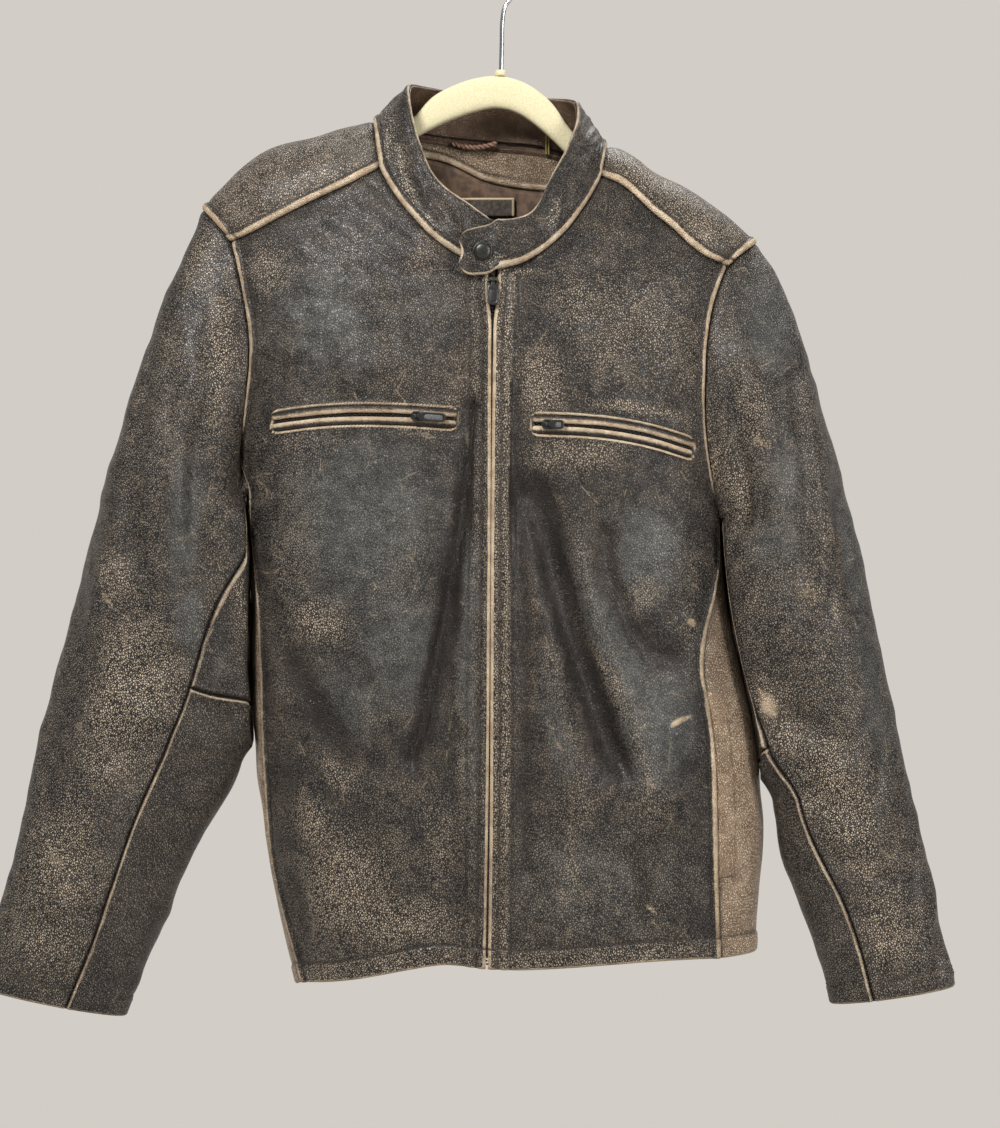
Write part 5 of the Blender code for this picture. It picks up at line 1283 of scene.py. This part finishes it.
def framed_tab(half_x, half_z, window_x, window_z, window_at, thick, centre_z, power):
    """A flat tab with a window: round the outline in one way, and round the band between outline and window
    in the other, so that it closes on itself both ways."""
    turn = full_turn(36)
    ox, oz = superellipse(half_x, half_z, power, turn)
    wx, wz = superellipse(window_x, window_z, power, turn)
    rows = []
    for share, depth in (
            (0, 0), (0.05, -0.75), (0.16, -1), (0.84, -1), (0.95, -0.75), (1, 0), (0.95, 0.75), (0.84, 1),
            (0.16, 1), (0.05, 0.75)):
        z = centre_z + oz * (1 - share) + (wz + window_at) * share
        rows.append(xyz(between(ox, wx, share), depth * thick / 2, z))
    return closed_grid(np.array(rows))


def ring_round_x(radius, wire_x, wire):
    """A ring about the x axis, its section an oval."""
    turn = full_turn(20)[:, None]
    round_it = full_turn(10)[None]
    reach = radius + wire * np.cos(round_it)
    return closed_grid(xyz(wire_x * np.sin(round_it), reach * np.cos(turn), reach * np.sin(turn)))


def joined(*parts):
    """Several meshes of points and four-cornered faces as one."""
    points, faces, count = [], [], 0
    for some, quads in parts:
        points.append(np.asarray(some, float))
        faces.append(np.asarray(quads) + count)
        count += len(some)
    return np.concatenate(points), np.concatenate(faces)


def make_slider(name, joint, down, width, length, metal, satin):
    """A slider seated behind its pin, and a pull tab that swings on the pin.

    In their own axes x is the pin, y points into the jacket and the tab hangs along -z."""
    pin = np.array(joint["pos_m"]) * 1000
    down = unit(np.array(down, float))
    out = unit(FORWARD - down * (FORWARD @ down))
    across = np.cross(out, down)

    def placed(mesh):
        points, faces = mesh
        return points[:, :1] * across - points[:, 1:2] * out - points[:, 2:] * down + pin, faces

    plate = lozenge(3.8, 5.8, 2.0, PIN_OUT - 0.5, 0.8, 3.2, (0, -2.65))
    lugs = [lozenge(0.65, 1.6, -1.2, 2.6, 0.3, 3.0, (x, 0), 12) for x in (-2.9, 2.9)]
    bar = tube([(x, 0, 0) for x in (-2.9, 0, 2.9)], PIN_RADIUS, PIN_RADIUS, 10)
    body = placed(joined(plate, *lugs, bar))
    slider = name.replace("_pull", "_slider")
    add_piece(slider + "_body", body, metal, [slider])
    half = (length - 3.4) / 2
    tab = framed_tab(width / 2, half, width / 2 - 1.7, half - 3.4, -1.0, 1.3, -3.4 - half, 5.0)
    neck = lozenge(1.5, 1.7, -0.6, 0.6, 0.25, 4.0, (0, -3.2), 16)
    eye = ring_round_x(1.38, 1.7, 0.4)
    add_piece(f"{name}_tab", placed(joined(tab, neck, eye)), metal, [name], name)
    # The inset's lighter grey partly stands for the glint in the tab's window: a painted reflection.
    inset = lozenge(width / 2 - 1.5, half - 3.2, -0.25, 0.25, 0.1, 3.4, (0, -3.4 - half - 1.0), 28)
    add_piece(f"{name}_tab_inset", placed(inset), satin, (), name)


def make_sliders(metal, satin):
    """The front zip's slider and those of the chest pockets, each on its pin."""
    joints = {joint["child"]: joint for joint in frame["joints"]}
    make_slider("zip_pull", joints["zip_pull"], (0, -0.151, -0.989), 8.6, 20.0, metal, metal)
    for side, way in (("right", (0.9973, -0.0298, -0.0677)), ("left", (0.9995, 0.005, -0.030))):
        name = f"pocket_{side}_pull"
        make_slider(name, joints[name], way, 7.0, POCKET_PULL[side], metal, satin)


def pocket_line(side, t, across, proud):
    """Points beside the middle line of a chest pocket, on the front's face or out of it."""
    middle = along(CHEST_POCKET[side], t)
    slope = np.gradient(middle, axis=0)
    slope /= np.hypot(*slope.T)[:, None]
    place = middle + np.column_stack([-slope[:, 1] * across, slope[:, 0] * across])
    points = front_at(place[:, 0], place[:, 1])
    points[:, 1] -= proud
    return points


def make_chest_pockets(leather, tape, metal):
    """Two rolled lips, and a zip between them, along each slot."""
    t = np.linspace(0, 1, 90)
    for side in SIDES:
        for lip, sign in (("upper", 1), ("lower", -1)):
            wave = 0.25 * noise(t * 140, 0 * t, 16, 3 + sign)
            path = pocket_line(side, t, sign * (4.35 + wave), 0.1 + 0.4 * wave)
            points, faces = tube(path, 3.0, 1.75, 16)
            off = np.abs(points[:, 2] - smooth(CHEST_POCKET[side], points[:, 0]))
            patchy = 0.06 * noise(points[:, 0], points[:, 2], 34, 5 + sign)
            rubbed = step_up(6.3, 2.6, off)
            wear = np.stack([0.26 + 0.5 * rubbed + patchy, rubbed, 0 * off, 0 * off + 1], -1)
            # Painted shade on each lip's far side, where it meets the edge of the slot.
            tone = np.stack([0.85 * step_up(4.4, 6.6, off), 0 * off, 0 * off, 0 * off + 1], -1)
            made = mesh_object(f"pocket_{side}_lip_{lip}", points, faces, {"wear": wear, "tone": tone})
            finish_piece(made, leather, [f"pocket_lip_{lip}_{side}"])
        low = pocket_line(side, t, -6.4, -2.2)
        high = pocket_line(side, t, 6.4, -2.2)
        share = np.linspace(0, 1, 8)[:, None, None]
        grid = between(low[None], high[None], share)
        ribbon(f"pocket_{side}_zip_tape", grid, tape, [f"pocket_tape_{side}"])
        line = resample(pocket_line(side, t, 0.0, -1.2), 1.9)
        teeth(f"pocket_{side}_zip_teeth", line, 1.5, metal)


def ribbon(name, grid, finish, nodes):
    """A narrow woven strip from a grid whose face is to the front."""
    panel = Panel(name, grid, FORWARD)
    cut_cloth(panel, finish, nodes, RIBBON)


def teeth(name, line, reach, metal, nodes=()):
    """A closed zip chain: small blocks set left and right of the middle line by turns."""
    ahead = unit(np.gradient(line, axis=0))
    side = unit(np.cross(ahead, FORWARD))
    out = np.cross(side, ahead)
    corners = table(*((x, y, z) for z in (-1, 1) for x, y in ((-1, -1), (1, -1), (1, 1), (-1, 1))))
    hand = np.where(np.arange(len(line)) % 2 == 0, 1.0, -1.0)[:, None, None]
    points = (
        line[:, None] + side[:, None] * (hand * reach * 0.28 + reach * 0.5 * corners[None, :, :1])
        + out[:, None] * corners[None, :, 1:2] * 0.75 + ahead[:, None] * corners[None, :, 2:] * 0.62)
    one = np.array([[0, 3, 2, 1], [4, 5, 6, 7], [0, 1, 5, 4], [1, 2, 6, 5], [2, 3, 7, 6], [3, 0, 4, 7]])
    if volume(points[0], one) < 0:
        one = one[:, ::-1]
    faces = (one[None] + 8 * np.arange(len(line))[:, None, None]).reshape(-1, 4)
    made = mesh_object(name, points, faces)
    finish_piece(made, metal, nodes)


def make_front_zip(tape, metal):
    """The chain in the parting of the fronts, with a tape behind each front's edge."""
    z = np.linspace(ZIP_FOOT, ZIP_TOP, 200)
    x = smooth(ZIP_LINE, z)
    line = front_at(x, z)
    line[:, 1] += 0.7
    teeth("zip_teeth", resample(line, 2.6), 2.4, metal, ["zip_chain"])
    for side, sign in SIDES.items():
        near, far = (front_at(x + sign * reach, z) for reach in (1.4, 12))
        share = np.linspace(0, 1, 6)[:, None, None]
        grid = between(near[None], far[None], share)
        grid[..., 1] += LEATHER + 1.3
        ribbon(f"zip_{side}_tape", grid, tape, [f"zip_tape_{side}"])


def make_hand_pockets(leather):
    """A folded welt on each side panel, beside the seam."""
    for side, sign in SIDES.items():
        top, bottom = HAND_POCKET[side]
        seam = SIDE_SEAM[side]
        t = np.linspace(0, 1, 400)
        height = along(seam, t)[:, 1]
        low, high = (float(np.interp(z, height, t)) for z in (bottom, top))
        t, share = np.broadcast_arrays(
            np.linspace(low, high, 70)[:, None], np.linspace(*WELT_SHARE, 14)[None])
        grid = side_points_between(side, t, share)
        panel = Panel(f"hand_pocket_{side}_welt", grid, np.array([sign, -1, 0]))
        panel.lift = 1.4 * step_up(0, 3.0, np.minimum.reduce(list(panel.reach.values()))) - 0.5
        cut_cloth(
            panel, leather, [f"hand_pocket_welt_{side}"], 1.2)


def side_points_between(side, t, share):
    """The side panel's face over part of its rows and columns only."""
    whole = side_points(side, *np.broadcast_arrays(t[:, :1], np.linspace(0, 1, 61)[None]))
    at = np.clip(share[0] * 60, 0, 59.999)
    low = at.astype(int)
    part = (at - low)[None, :, None]
    return between(whole[:, low], whole[:, low + 1], part)


def make_snap(metal):
    """A domed cap with a rolled rim, turned about the line that faces the front."""
    low, high = np.array(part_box("snap_cap")) / MM
    radius = (high[0] - low[0]) / 2
    depth = high[1] - low[1]
    turn = full_turn(48)
    profile = [
        (0.93, 0.0), (0.99, 0.05), (1.0, 0.16), (0.99, 0.28), (0.955, 0.35), (0.915, 0.345), (0.89, 0.36),
        (0.86, 0.5), (0.78, 0.7), (0.64, 0.86), (0.46, 0.95), (0.26, 0.99), (0.08, 1.0)]
    x, z = (low[0] + high[0]) / 2, (low[2] + high[2]) / 2
    rings = np.array([
        xyz(x + radius * r * np.cos(turn), high[1] - depth * h, z + radius * r * np.sin(turn))
        for r, h in profile])
    add_piece("snap_cap_dome", closed_rings(rings), metal, ["snap_cap"])


FACING_OUT = 3.6
LINING_FOOT = ((-130, -805), (145, -794))
LOOP_TURNS = 4.5
LOOP_STRAND = 1.35
FACING_EDGE = table((-76, -160), (-45, -166), (-14, -180), (20, -187), (45, -188), (60, -184))
FACING_TOP = table((-76, -150), (-60, -152), (-34, -155.5), (-2, -158.5), (30, -162), (60, -170))
RIBBON = 0.8
PIN_OUT = 5.0
PIN_RADIUS = 0.6
POCKET_PULL = {"right": 24.0, "left": 14.0}
WELT_SHARE = (0.006, 0.124)
HAND_POCKET = {"right": (-655, -745), "left": (-590, -738)}


def inside_back(x, z, forward):
    """Points this far in front of the back's face."""
    return back_points(np.stack([x, z], axis=-1)) - [0, forward, 0]


def make_neck_inside(sanded, cloth, brass, woven, cord):
    """What shows in the neck: a facing with a piped edge, the lining, a bare patch, a loop and a tab."""
    u = np.linspace(0, 1, 70)
    share = np.linspace(0, 1, 16)[:, None, None]
    flat = between(along(FACING_EDGE, u)[None], along(FACING_TOP, u)[None], share)
    panel = Panel("neck_facing_leather", inside_back(flat[..., 0], flat[..., 1], FACING_OUT), FORWARD,
                  foot=("lap", 1.0))
    panel.tan += 0.2
    panel.spark += 0.2 + 0.2 * noise(panel.across, panel.down, 14, 2.0)
    # A little darker overall, with painted shade along the top edge where it meets the collar.
    panel.dark += 0.08 + 0.45 * step_up(2.5, 0.5, panel.reach["head"])
    cut_cloth(panel, sanded, ["neck_facing"], 1.0)
    u = np.linspace(0, 1, 90)
    w = np.linspace(0, 1, 160)
    head = along(FACING_EDGE, u) - [0, 1.5]
    foot = between(*table(*LINING_FOOT), u[:, None])
    spread = np.minimum(1, w / 0.25)[:, None]
    x = between(head[None, :, 0], foot[None, :, 0], spread)
    z = between(head[None, :, 1], foot[None, :, 1], w[:, None])
    grid = inside_back(x, z, 0)
    grid[..., 1] -= LEATHER + 2.2 + 6.0 * np.minimum(1, w / 0.1)[:, None]
    lining = Panel("lining_back_cloth", grid, FORWARD)
    lining.ripple(30, 1.2, 60.0, 0.5)
    cut_cloth(lining, cloth, ["lining_back"], 0.8)
    low, high = np.array(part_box("label_patch")) / MM
    x = np.linspace(low[0], high[0], 40)
    z = np.linspace(low[2] + 0.5, high[2] - 0.5, 16)[:, None]
    label = Panel("label_patch_woven", xyz(x, high[1] - 0.3, z), FORWARD)
    border = np.minimum.reduce([label.reach["head"], label.reach["end"]])
    label.pale = step_up(1.7, 1.2, border)
    label.lift = 0.4 * step_up(0, 0.6, np.minimum.reduce(list(label.reach.values())))
    cut_cloth(label, woven, ["label_patch"], 0.7)
    low, high = np.array(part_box("hanging_loop")) / MM
    t = np.linspace(0, 1, 60)
    sag = np.sin(math.pi * t)
    middle = xyz(low[0] + (high[0] - low[0]) * t, low[1] - 1.2 - 1.5 * sag, high[2] - 2.5 - 3.5 * sag)
    strands = []
    for phase in (0, math.pi):
        spin = 2 * math.pi * t * LOOP_TURNS + phase
        strand = middle + xyz(0, 1.05 * np.cos(spin), 1.05 * np.sin(spin))
        strands.append(tube(strand, LOOP_STRAND, LOOP_STRAND, 8))
    add_piece("hanging_loop_cord", joined(*strands), cord, ["hanging_loop"])
    low, high = np.array(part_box("neck_tab")) / MM
    bars = []
    for x in (low[0] + 0.7, high[0] - 0.7):
        bars.append(tube([(x, low[1] - 0.2, z) for z in np.linspace(low[2], high[2], 8)], 0.75, 0.6, 10))
    add_piece("neck_tab_bars", joined(*bars), brass, ["neck_tab"])


HANGER = table(
    # x, top z, bottom z, half thickness
    (-203, -175, -183, 3.5), (-192, -166, -178, 4.5), (-150, -153.4, -170, 5), (-122, -145.5, -166, 5),
    (-100, -140.5, -162, 5.5), (-84, -139, -158, 6), (-70, -133, -151, 6), (-57, -119, -144, 6),
    (-42, -110, -137, 6), (-22, -103, -130, 6), (-5, -101, -127, 6), (12, -104, -131, 6),
    (26, -111, -140, 6), (41, -124, -153, 6), (52, -140, -164, 6), (66, -155, -176, 6),
    (84, -161.5, -181, 5.5),
    (107, -170, -188, 5), (122, -181.8, -198, 5), (146, -194.5, -210, 5), (180, -217.5, -229, 4.5),
    (193, -229, -236, 3.5),
)
# The nub's middle, and its radius at heights.
NUB_X = -1.2
NUB = ((3.9, -101), (4.5, -100.6), (4.7, -99.6), (4.5, -98), (4.1, -96.8), (3.4, -96.2), (2.2, -96))
HOOK_WIRE = 1.8
HOOK_RADIUS = 19.8


def make_hanger(flock, chrome):
    """A flat bar with round edges that rises to a nub in the neck, and a bent wire hook."""
    x = np.linspace(HANGER[0, 0], HANGER[-1, 0], 260)
    top, bottom, half = (smooth(HANGER, x, k) for k in (1, 2, 3))
    outside = (x < YOKE_RIDGE["right"][0] + 1) | (x > YOKE_RIDGE["left"][0])
    top = np.where(outside, np.minimum(top, smooth(RIDGE, x) - LEATHER - 2.4), top)
    tall = (top - bottom) / 2
    turn = full_turn(28)
    y, z = superellipse(1.0, 1.0, 3.0, turn)
    ends = np.minimum(1, np.minimum(x - x[0], x[-1] - x) / 5.0 + 0.25) ** 0.5
    rings = xyz(
        x[:, None], half[:, None] * ends[:, None] * y,
        ((top + bottom) / 2)[:, None] + tall[:, None] * ends[:, None] * z)
    add_piece("hanger_body_flocked", closed_rings(rings), flock, ["hanger_body"])
    turn = full_turn(32)
    rings = np.array([xyz(NUB_X + r * np.cos(turn), r * np.sin(turn), z) for r, z in NUB])
    add_piece("hanger_nub_flocked", closed_rings(rings), flock, ["hanger_nub"])
    turn = np.radians(np.linspace(-45, 205, 60))
    loop = xyz(HOOK_RADIUS * np.cos(turn), 0, HOOK_WIRE - HOOK_RADIUS + HOOK_RADIUS * np.sin(turn))
    stem = np.array([(-0.7, 0, -96.0), (-0.2, 0, -75), (0.4, 0, -56), (2.2, 0, -46), (6.5, 0, -39.5)])
    bend = np.column_stack([along(stem[:, [0, 2]], np.linspace(0, 1, 40)), np.zeros(40)])[:, [0, 2, 1]]
    path = resample(np.concatenate([bend, loop]), 1.2)
    wire = tube(path, HOOK_WIRE, HOOK_WIRE, 20)
    add_piece("hanger_hook_wire", wire, chrome, ["hanger_hook"])


def linear(hex_colour):
    """An sRGB hex colour as linear values."""
    values = [int(hex_colour[i:i + 2], 16) / 255 for i in (1, 3, 5)]
    return tuple(v / 12.92 if v <= 0.04045 else ((v + 0.055) / 1.055) ** 2.4 for v in values) + (1.0,)


def feed(node, sockets):
    """Sets each socket to a number or a hex colour, or links it to another node's output."""
    for key, value in sockets.items():
        if isinstance(value, tuple) and isinstance(value[0], bpy.types.Node):
            node.id_data.links.new(value[0].outputs[value[1]], node.inputs[key])
        else:
            node.inputs[key].default_value = linear(value) if isinstance(value, str) else value


def add_node(tree, kind, *values, out=0, **named):
    """Adds a node and gives (node, output), which another node takes as a value.

    The values go to its sockets in order. A name with a capital is a socket, and any other a setting.
    A kind in capitals is a Math operation. Mix is for colours, and MapRange eases at both ends."""
    at = range(len(values))
    settings = {}
    if kind.isupper():
        kind, settings = "Math", {"operation": kind}
        values, at = (*values, 0.0, 0.0)[:3], range(3)
    elif kind == "Mix":
        settings, at, out = {"data_type": "RGBA"}, (0, 6, 7), 2
    elif kind == "MapRange":
        settings = {"interpolation_type": "SMOOTHSTEP"}
    made = tree.nodes.new("ShaderNode" + kind)
    for key, value in {**settings, **named}.items():
        if key[0].islower():
            setattr(made, key, value)
    feed(made, dict(zip(at, values)) | {key: value for key, value in named.items() if key[0].isupper()})
    return made, out


def new_material(name, sockets):
    """A material with one Principled BSDF, its sockets set directly, and what adds a node to it."""
    made = bpy.data.materials.new(name)
    made.use_nodes = True
    shader = made.node_tree.nodes["Principled BSDF"]
    feed(shader, sockets)
    return made, partial(add_node, made.node_tree), shader


def leather_material(name, deep, body, polish, fleck, crease="#2a231e"):
    """Drum-dyed cowhide with a pebbled grain and a worn finish.

    The pebbles are about 2 mm across, with dark creases between. Where the colour attributes say so the
    dye is rubbed off their tops, worn through to tan or to pale bare hide, or polished smooth and grey, and
    the leather is darkened by painted shade.
    Fine straight hairlines are old scratches, and soft patches 20 to 60 mm wide are handling stains."""
    made, add, shader = new_material(name, {"IOR": 1.5, "Coat Weight": 0.06, "Coat Roughness": 0.35})
    mm = add("VectorMath", add("TexCoord", out="Object"), operation="SCALE", Scale=1000.0)
    sway = add("TexNoise", Vector=mm, Scale=0.22, Detail=2.0, out="Color")
    warp = add("VectorMath", sway, (2.0, 2.0, 2.0), mm, operation="MULTIPLY_ADD")
    grain = add("VectorMath", warp, (1.2, 1.0, 0.82), operation="MULTIPLY")
    cells = partial(add, "TexVoronoi", feature="DISTANCE_TO_EDGE", out="Distance")
    pebble, fissure, hair = (cells(Vector=at, Scale=scale) for at, scale in (
        (grain, 0.58), (warp, 0.17), (mm, 0.03)))
    clouds = partial(add, "TexNoise", Vector=mm)
    broad, middle, spots = (
        clouds(Scale=scale, Detail=detail, Roughness=rough)
        for scale, detail, rough in ((0.03, 4.0, 0.62), (0.09, 3.0, 0.6), (0.33, 3.0, 0.65)))
    wear, tone = (add("Attribute", attribute_name=key, out="Color") for key in ("wear", "tone"))
    (worn, _), (shade, _) = add("SeparateColor", wear), add("SeparateColor", tone)
    bare, tan, charcoal = ((worn, k) for k in range(3))
    painted_shade_and_darkening, inside, tops = ((shade, k) for k in range(3))
    top = add("MapRange", pebble, 0.02, 0.27)
    wrinkle = add("MapRange", fissure, 0.0, 0.08)
    grey = add("MULTIPLY_ADD", add("SUBTRACT", broad, 0.5), 0.8, charcoal)
    grey = add("MapRange", grey, 0.1, 0.95)
    cloud = add("MULTIPLY_ADD", broad, 0.55, add("MULTIPLY", middle, 0.45))
    colour = add("Mix", add("MapRange", cloud, 0.41, 0.6), deep, body)
    colour = add("Mix", grey, colour, add("Mix", add("MapRange", middle, 0.3, 0.7), *polish))
    tan = add("MULTIPLY_ADD", add("SUBTRACT", middle, 0.5), 1.2, tan)
    tan = add("MULTIPLY", add("MapRange", tan, 0.1, 0.9), 0.75)
    colour = add("Mix", tan, colour, "#7c6853")
    rubbed = add("MULTIPLY_ADD", tops, 0.68, add("MapRange", broad, 0.4, 0.7, 0.24, 0.44))
    rubbed = add("MULTIPLY", rubbed, add("MapRange", spots, 0.3, 0.6, 0.6, 1.0))
    rubbed = add("MULTIPLY", rubbed, add("SUBTRACT", 1.0, add("MULTIPLY", grey, 0.45)))
    hide = add("Mix", tops, *fleck)
    colour = add("Mix", add("MULTIPLY", rubbed, add("MapRange", top, 0.25, 0.85)), colour, hide)
    hollow = add("MULTIPLY", add("SUBTRACT", 1.0, top), add("MapRange", grey, 0.0, 1.0, 0.88, 0.7))
    hollow = add("MAXIMUM", hollow, add("MULTIPLY", add("SUBTRACT", 1.0, wrinkle), 0.2))
    colour = add("Mix", hollow, colour, crease, blend_type="MULTIPLY")
    scratch = add("MULTIPLY", add("MapRange", hair, 0.014, 0.004), add("MapRange", middle, 0.52, 0.62))
    colour = add("Mix", add("MULTIPLY", scratch, 0.5), colour, "#a8957b")
    pale = add("ADD", bare, add("MULTIPLY", add("SUBTRACT", spots, 0.5), 0.4))
    pale = add("MapRange", pale, 0.3, 0.78)
    colour = add("Mix", pale, colour, add("Mix", add("MapRange", middle, 0.36, 0.62), "#c3a98a", "#e3cdae"))
    # The dark channel: mostly painted shade in grooves, creases, fold troughs and turned-away sides.
    colour = add("Mix", add("MULTIPLY", painted_shade_and_darkening, 0.92), colour, "#1e1712")
    suede = add("Mix", add("MapRange", middle, 0.3, 0.7), "#574335", "#79604c")
    colour = add("Mix", inside, colour, suede)
    rough = add("MapRange", spots, 0.3, 0.7, 0.32, 0.45)
    rough = add("ADD", rough, add("MULTIPLY", pale, 0.25))
    height = add("MULTIPLY", top, add("MapRange", grey, 0.0, 1.0, 1.0, 0.6))
    height = add("MULTIPLY_ADD", wrinkle, 0.3, height)
    bump = add("Bump", Strength=1.0, Distance=0.0006, Height=height)
    feed(shader, {"Base Color": colour, "Roughness": rough, "Normal": bump})
    return made


def plain_material(name, colour, second, roughness, metallic=0.0, grain=0.5, bump=0.0001):
    """A fine mottled finish: two close colours by a noise of this many grains per millimetre."""
    made, add, shader = new_material(name, {"Roughness": roughness, "Metallic": metallic})
    mm = add("VectorMath", add("TexCoord", out="Object"), operation="SCALE", Scale=1000.0)
    speck = add("TexNoise", Vector=mm, Scale=grain, Detail=3.0)
    tint = add("Mix", add("MapRange", speck, 0.35, 0.65), colour, second)
    rim = add("SeparateColor", add("Attribute", attribute_name="wear", out="Color"))
    tint = add("Mix", rim, tint, "#c9b594")
    bumps = add("Bump", Strength=0.6, Distance=bump, Height=speck)
    feed(shader, {"Base Color": tint, "Normal": bumps})
    return made


def make_stage():
    """A floor that sweeps up into a backdrop, a camera in front, and three soft lamps."""
    turn = np.linspace(0, 1, 60) * math.pi / 2
    y = np.concatenate([
        np.linspace(-4000, BEND_AT, 12), BEND_AT + BEND * np.sin(turn), np.full(12, BEND_AT + BEND)])
    z = np.concatenate([
        np.full(12, FLOOR), FLOOR + BEND * (1 - np.cos(turn)), np.linspace(FLOOR + BEND, 3200, 12)])
    points = xyz(np.linspace(-4000, 4000, 9), y[:, None], z[:, None])
    floor = mesh_object("backdrop", points, grid_quads(len(y), 9))
    # Matt card: an even warm grey without shine, as bright as the backdrop where the camera sees it.
    paper, add, shader = new_material(
        "matt_paper_backdrop", {"Base Color": BACKDROP_LIT, "Roughness": 0.95})
    lit = add("Emission", Color=BACKDROP)
    ray = add("LightPath", out="Is Camera Ray")
    seen = add("MAXIMUM", ray, (ray[0], "Is Glossy Ray"))
    feed(paper.node_tree.nodes["Material Output"], {0: add("MixShader", seen, (shader, 0), lit)})
    floor.data.materials.append(paper)
    world = bpy.data.worlds.new("studio")
    world.use_nodes = True
    add = partial(add_node, world.node_tree)
    ray = add("LightPath", out="Is Camera Ray")
    feed(world.node_tree.nodes["Background"], {
        "Color": add("Mix", ray, "#fbfaf7", BACKDROP), "Strength": add("MapRange", ray, 0, 1, WORLD, 1.0)})
    scene = bpy.context.scene
    scene.world = world
    for name, place, size, power in LAMPS:
        light = bpy.data.lights.new(name, "AREA")
        light.shape = "RECTANGLE"
        light.size, light.size_y = size
        light.energy = power
        lamp = bpy.data.objects.new(name, light)
        scene.collection.objects.link(lamp)
        lamp.location = place
        lamp.rotation_euler = (Vector(LAMPS_AIM) - Vector(place)).to_track_quat("-Z", "Y").to_euler()
    camera = bpy.data.cameras.new("camera")
    camera.sensor_fit = "VERTICAL"
    camera.angle = 2 * math.atan(VIEW_HEIGHT / 2 / CAMERA_AWAY)
    view = bpy.data.objects.new("camera", camera)
    view.location = (CAMERA_X, -CAMERA_AWAY, CAMERA_Z)
    view.rotation_euler = (math.pi / 2, 0, 0)
    scene.collection.objects.link(view)
    scene.camera = view
    scene.view_settings.view_transform = "Standard"


CAMERA_AWAY = 2.5
CAMERA_X = -0.0016
CAMERA_Z = -0.4912
VIEW_HEIGHT = 0.9024
FLOOR = -1000
BEND_AT = 2700
BEND = 700
LAMPS_AIM = (0, 0, -0.49)
BACKDROP = "#d2cdc6"
BACKDROP_LIT = "#8f8b86"
WORLD = 0.25
LAMPS = (
    ("key", (-1.0, -1.9, 1.2), (0.6, 0.6), 63.0),
    ("fill", (1.5, -1.6, 0.1), (0.6, 1.4), 27.0),
    ("rim", (0.4, 1.0, 1.3), (1.0, 0.6), 22.0),
)


def main():
    """The stage, the materials, and then every piece."""
    make_stage()
    dark = leather_material(
        "pebbled_cowhide", "#28221c", "#675a4c", ("#4b4b48", "#6d6d69"), ("#968c81", "#cfbda5"))
    rubbed = leather_material(
        "rubbed_cowhide", "#5f5347", "#9a8b7b", ("#605e5a", "#807e78"), ("#aa9b87", "#c8b69d"), "#3a3128")
    sanded = leather_material(
        "sanded_cowhide", "#b39b82", "#dec8ad", ("#9c8f80", "#b9ab99"), ("#dcc9b0", "#eddcc3"), "#9a8874")
    # Woven polyester: near black and dull, with the specks of its weave.
    tape = plain_material("woven_zip_tape", "#1d1a18", "#2c2723", 0.85, grain=0.8)
    # Lacquered zinc: black with a soft shine, a little mottled.
    black = plain_material("black_lacquered_zinc", "#2b2a29", "#353432", 0.3, 0.3, grain=0.9)
    # Chemically darkened brass: a dark grey mirror, blurred.
    gunmetal = plain_material("gunmetal_brass", "#3b3c39", "#4b4a45", 0.36, 0.85, grain=0.9)
    # Tumbled zinc: a mid grey with a satin shine, set lighter than the black tabs to stand for the grey
    # glint in
    # their windows: partly a painted reflection.
    satin = plain_material("satin_zinc", "#66686b", "#7c7e80", 0.42, 0.6, grain=0.9)
    # Brass left to age: a dull yellow with browner specks.
    brass = plain_material("aged_brass", "#b8a768", "#94834a", 0.5, 0.3, grain=0.7)
    # Woven viscose: a brown with slow clouds and a slight sheen.
    cloth = plain_material("brown_lining", "#4a3829", "#715843", 0.6, grain=0.12)
    woven = plain_material("woven_patch", "#37302a", "#564b40", 0.75, grain=0.4)
    # Waxed cotton: reddish brown, with the lighter flecks of its twist.
    cord = plain_material("waxed_brown_cord", "#6f5040", "#94715c", 0.5)
    thread = plain_material("waxed_thread", "#3a332b", "#57493a", 0.7)
    # Short fibres on moulded polystyrene: a cream velvet without shine.
    flock = plain_material("flocked_polystyrene", "#ddd1a8", "#e9dfba", 0.95, grain=0.7, bump=0.0002)
    # Plated wire: a clean bright mirror.
    chrome = plain_material("chromed_wire", "#c6c8ca", "#c6c8ca", 0.16, 1.0, grain=0.2, bump=0.00002)
    make_fronts(dark)
    make_back(dark)
    make_sides(sanded)
    make_yokes(rubbed)
    make_sleeves(dark)
    make_collar(dark)
    make_chest_pockets(dark, tape, black)
    make_front_zip(tape, black)
    make_hand_pockets(sanded)
    make_sliders(black, satin)
    make_snap(gunmetal)
    make_neck_inside(sanded, cloth, brass, woven, cord)
    make_hanger(flock, chrome)
    for row in THREADS:
        finish_piece(row, thread)


main()
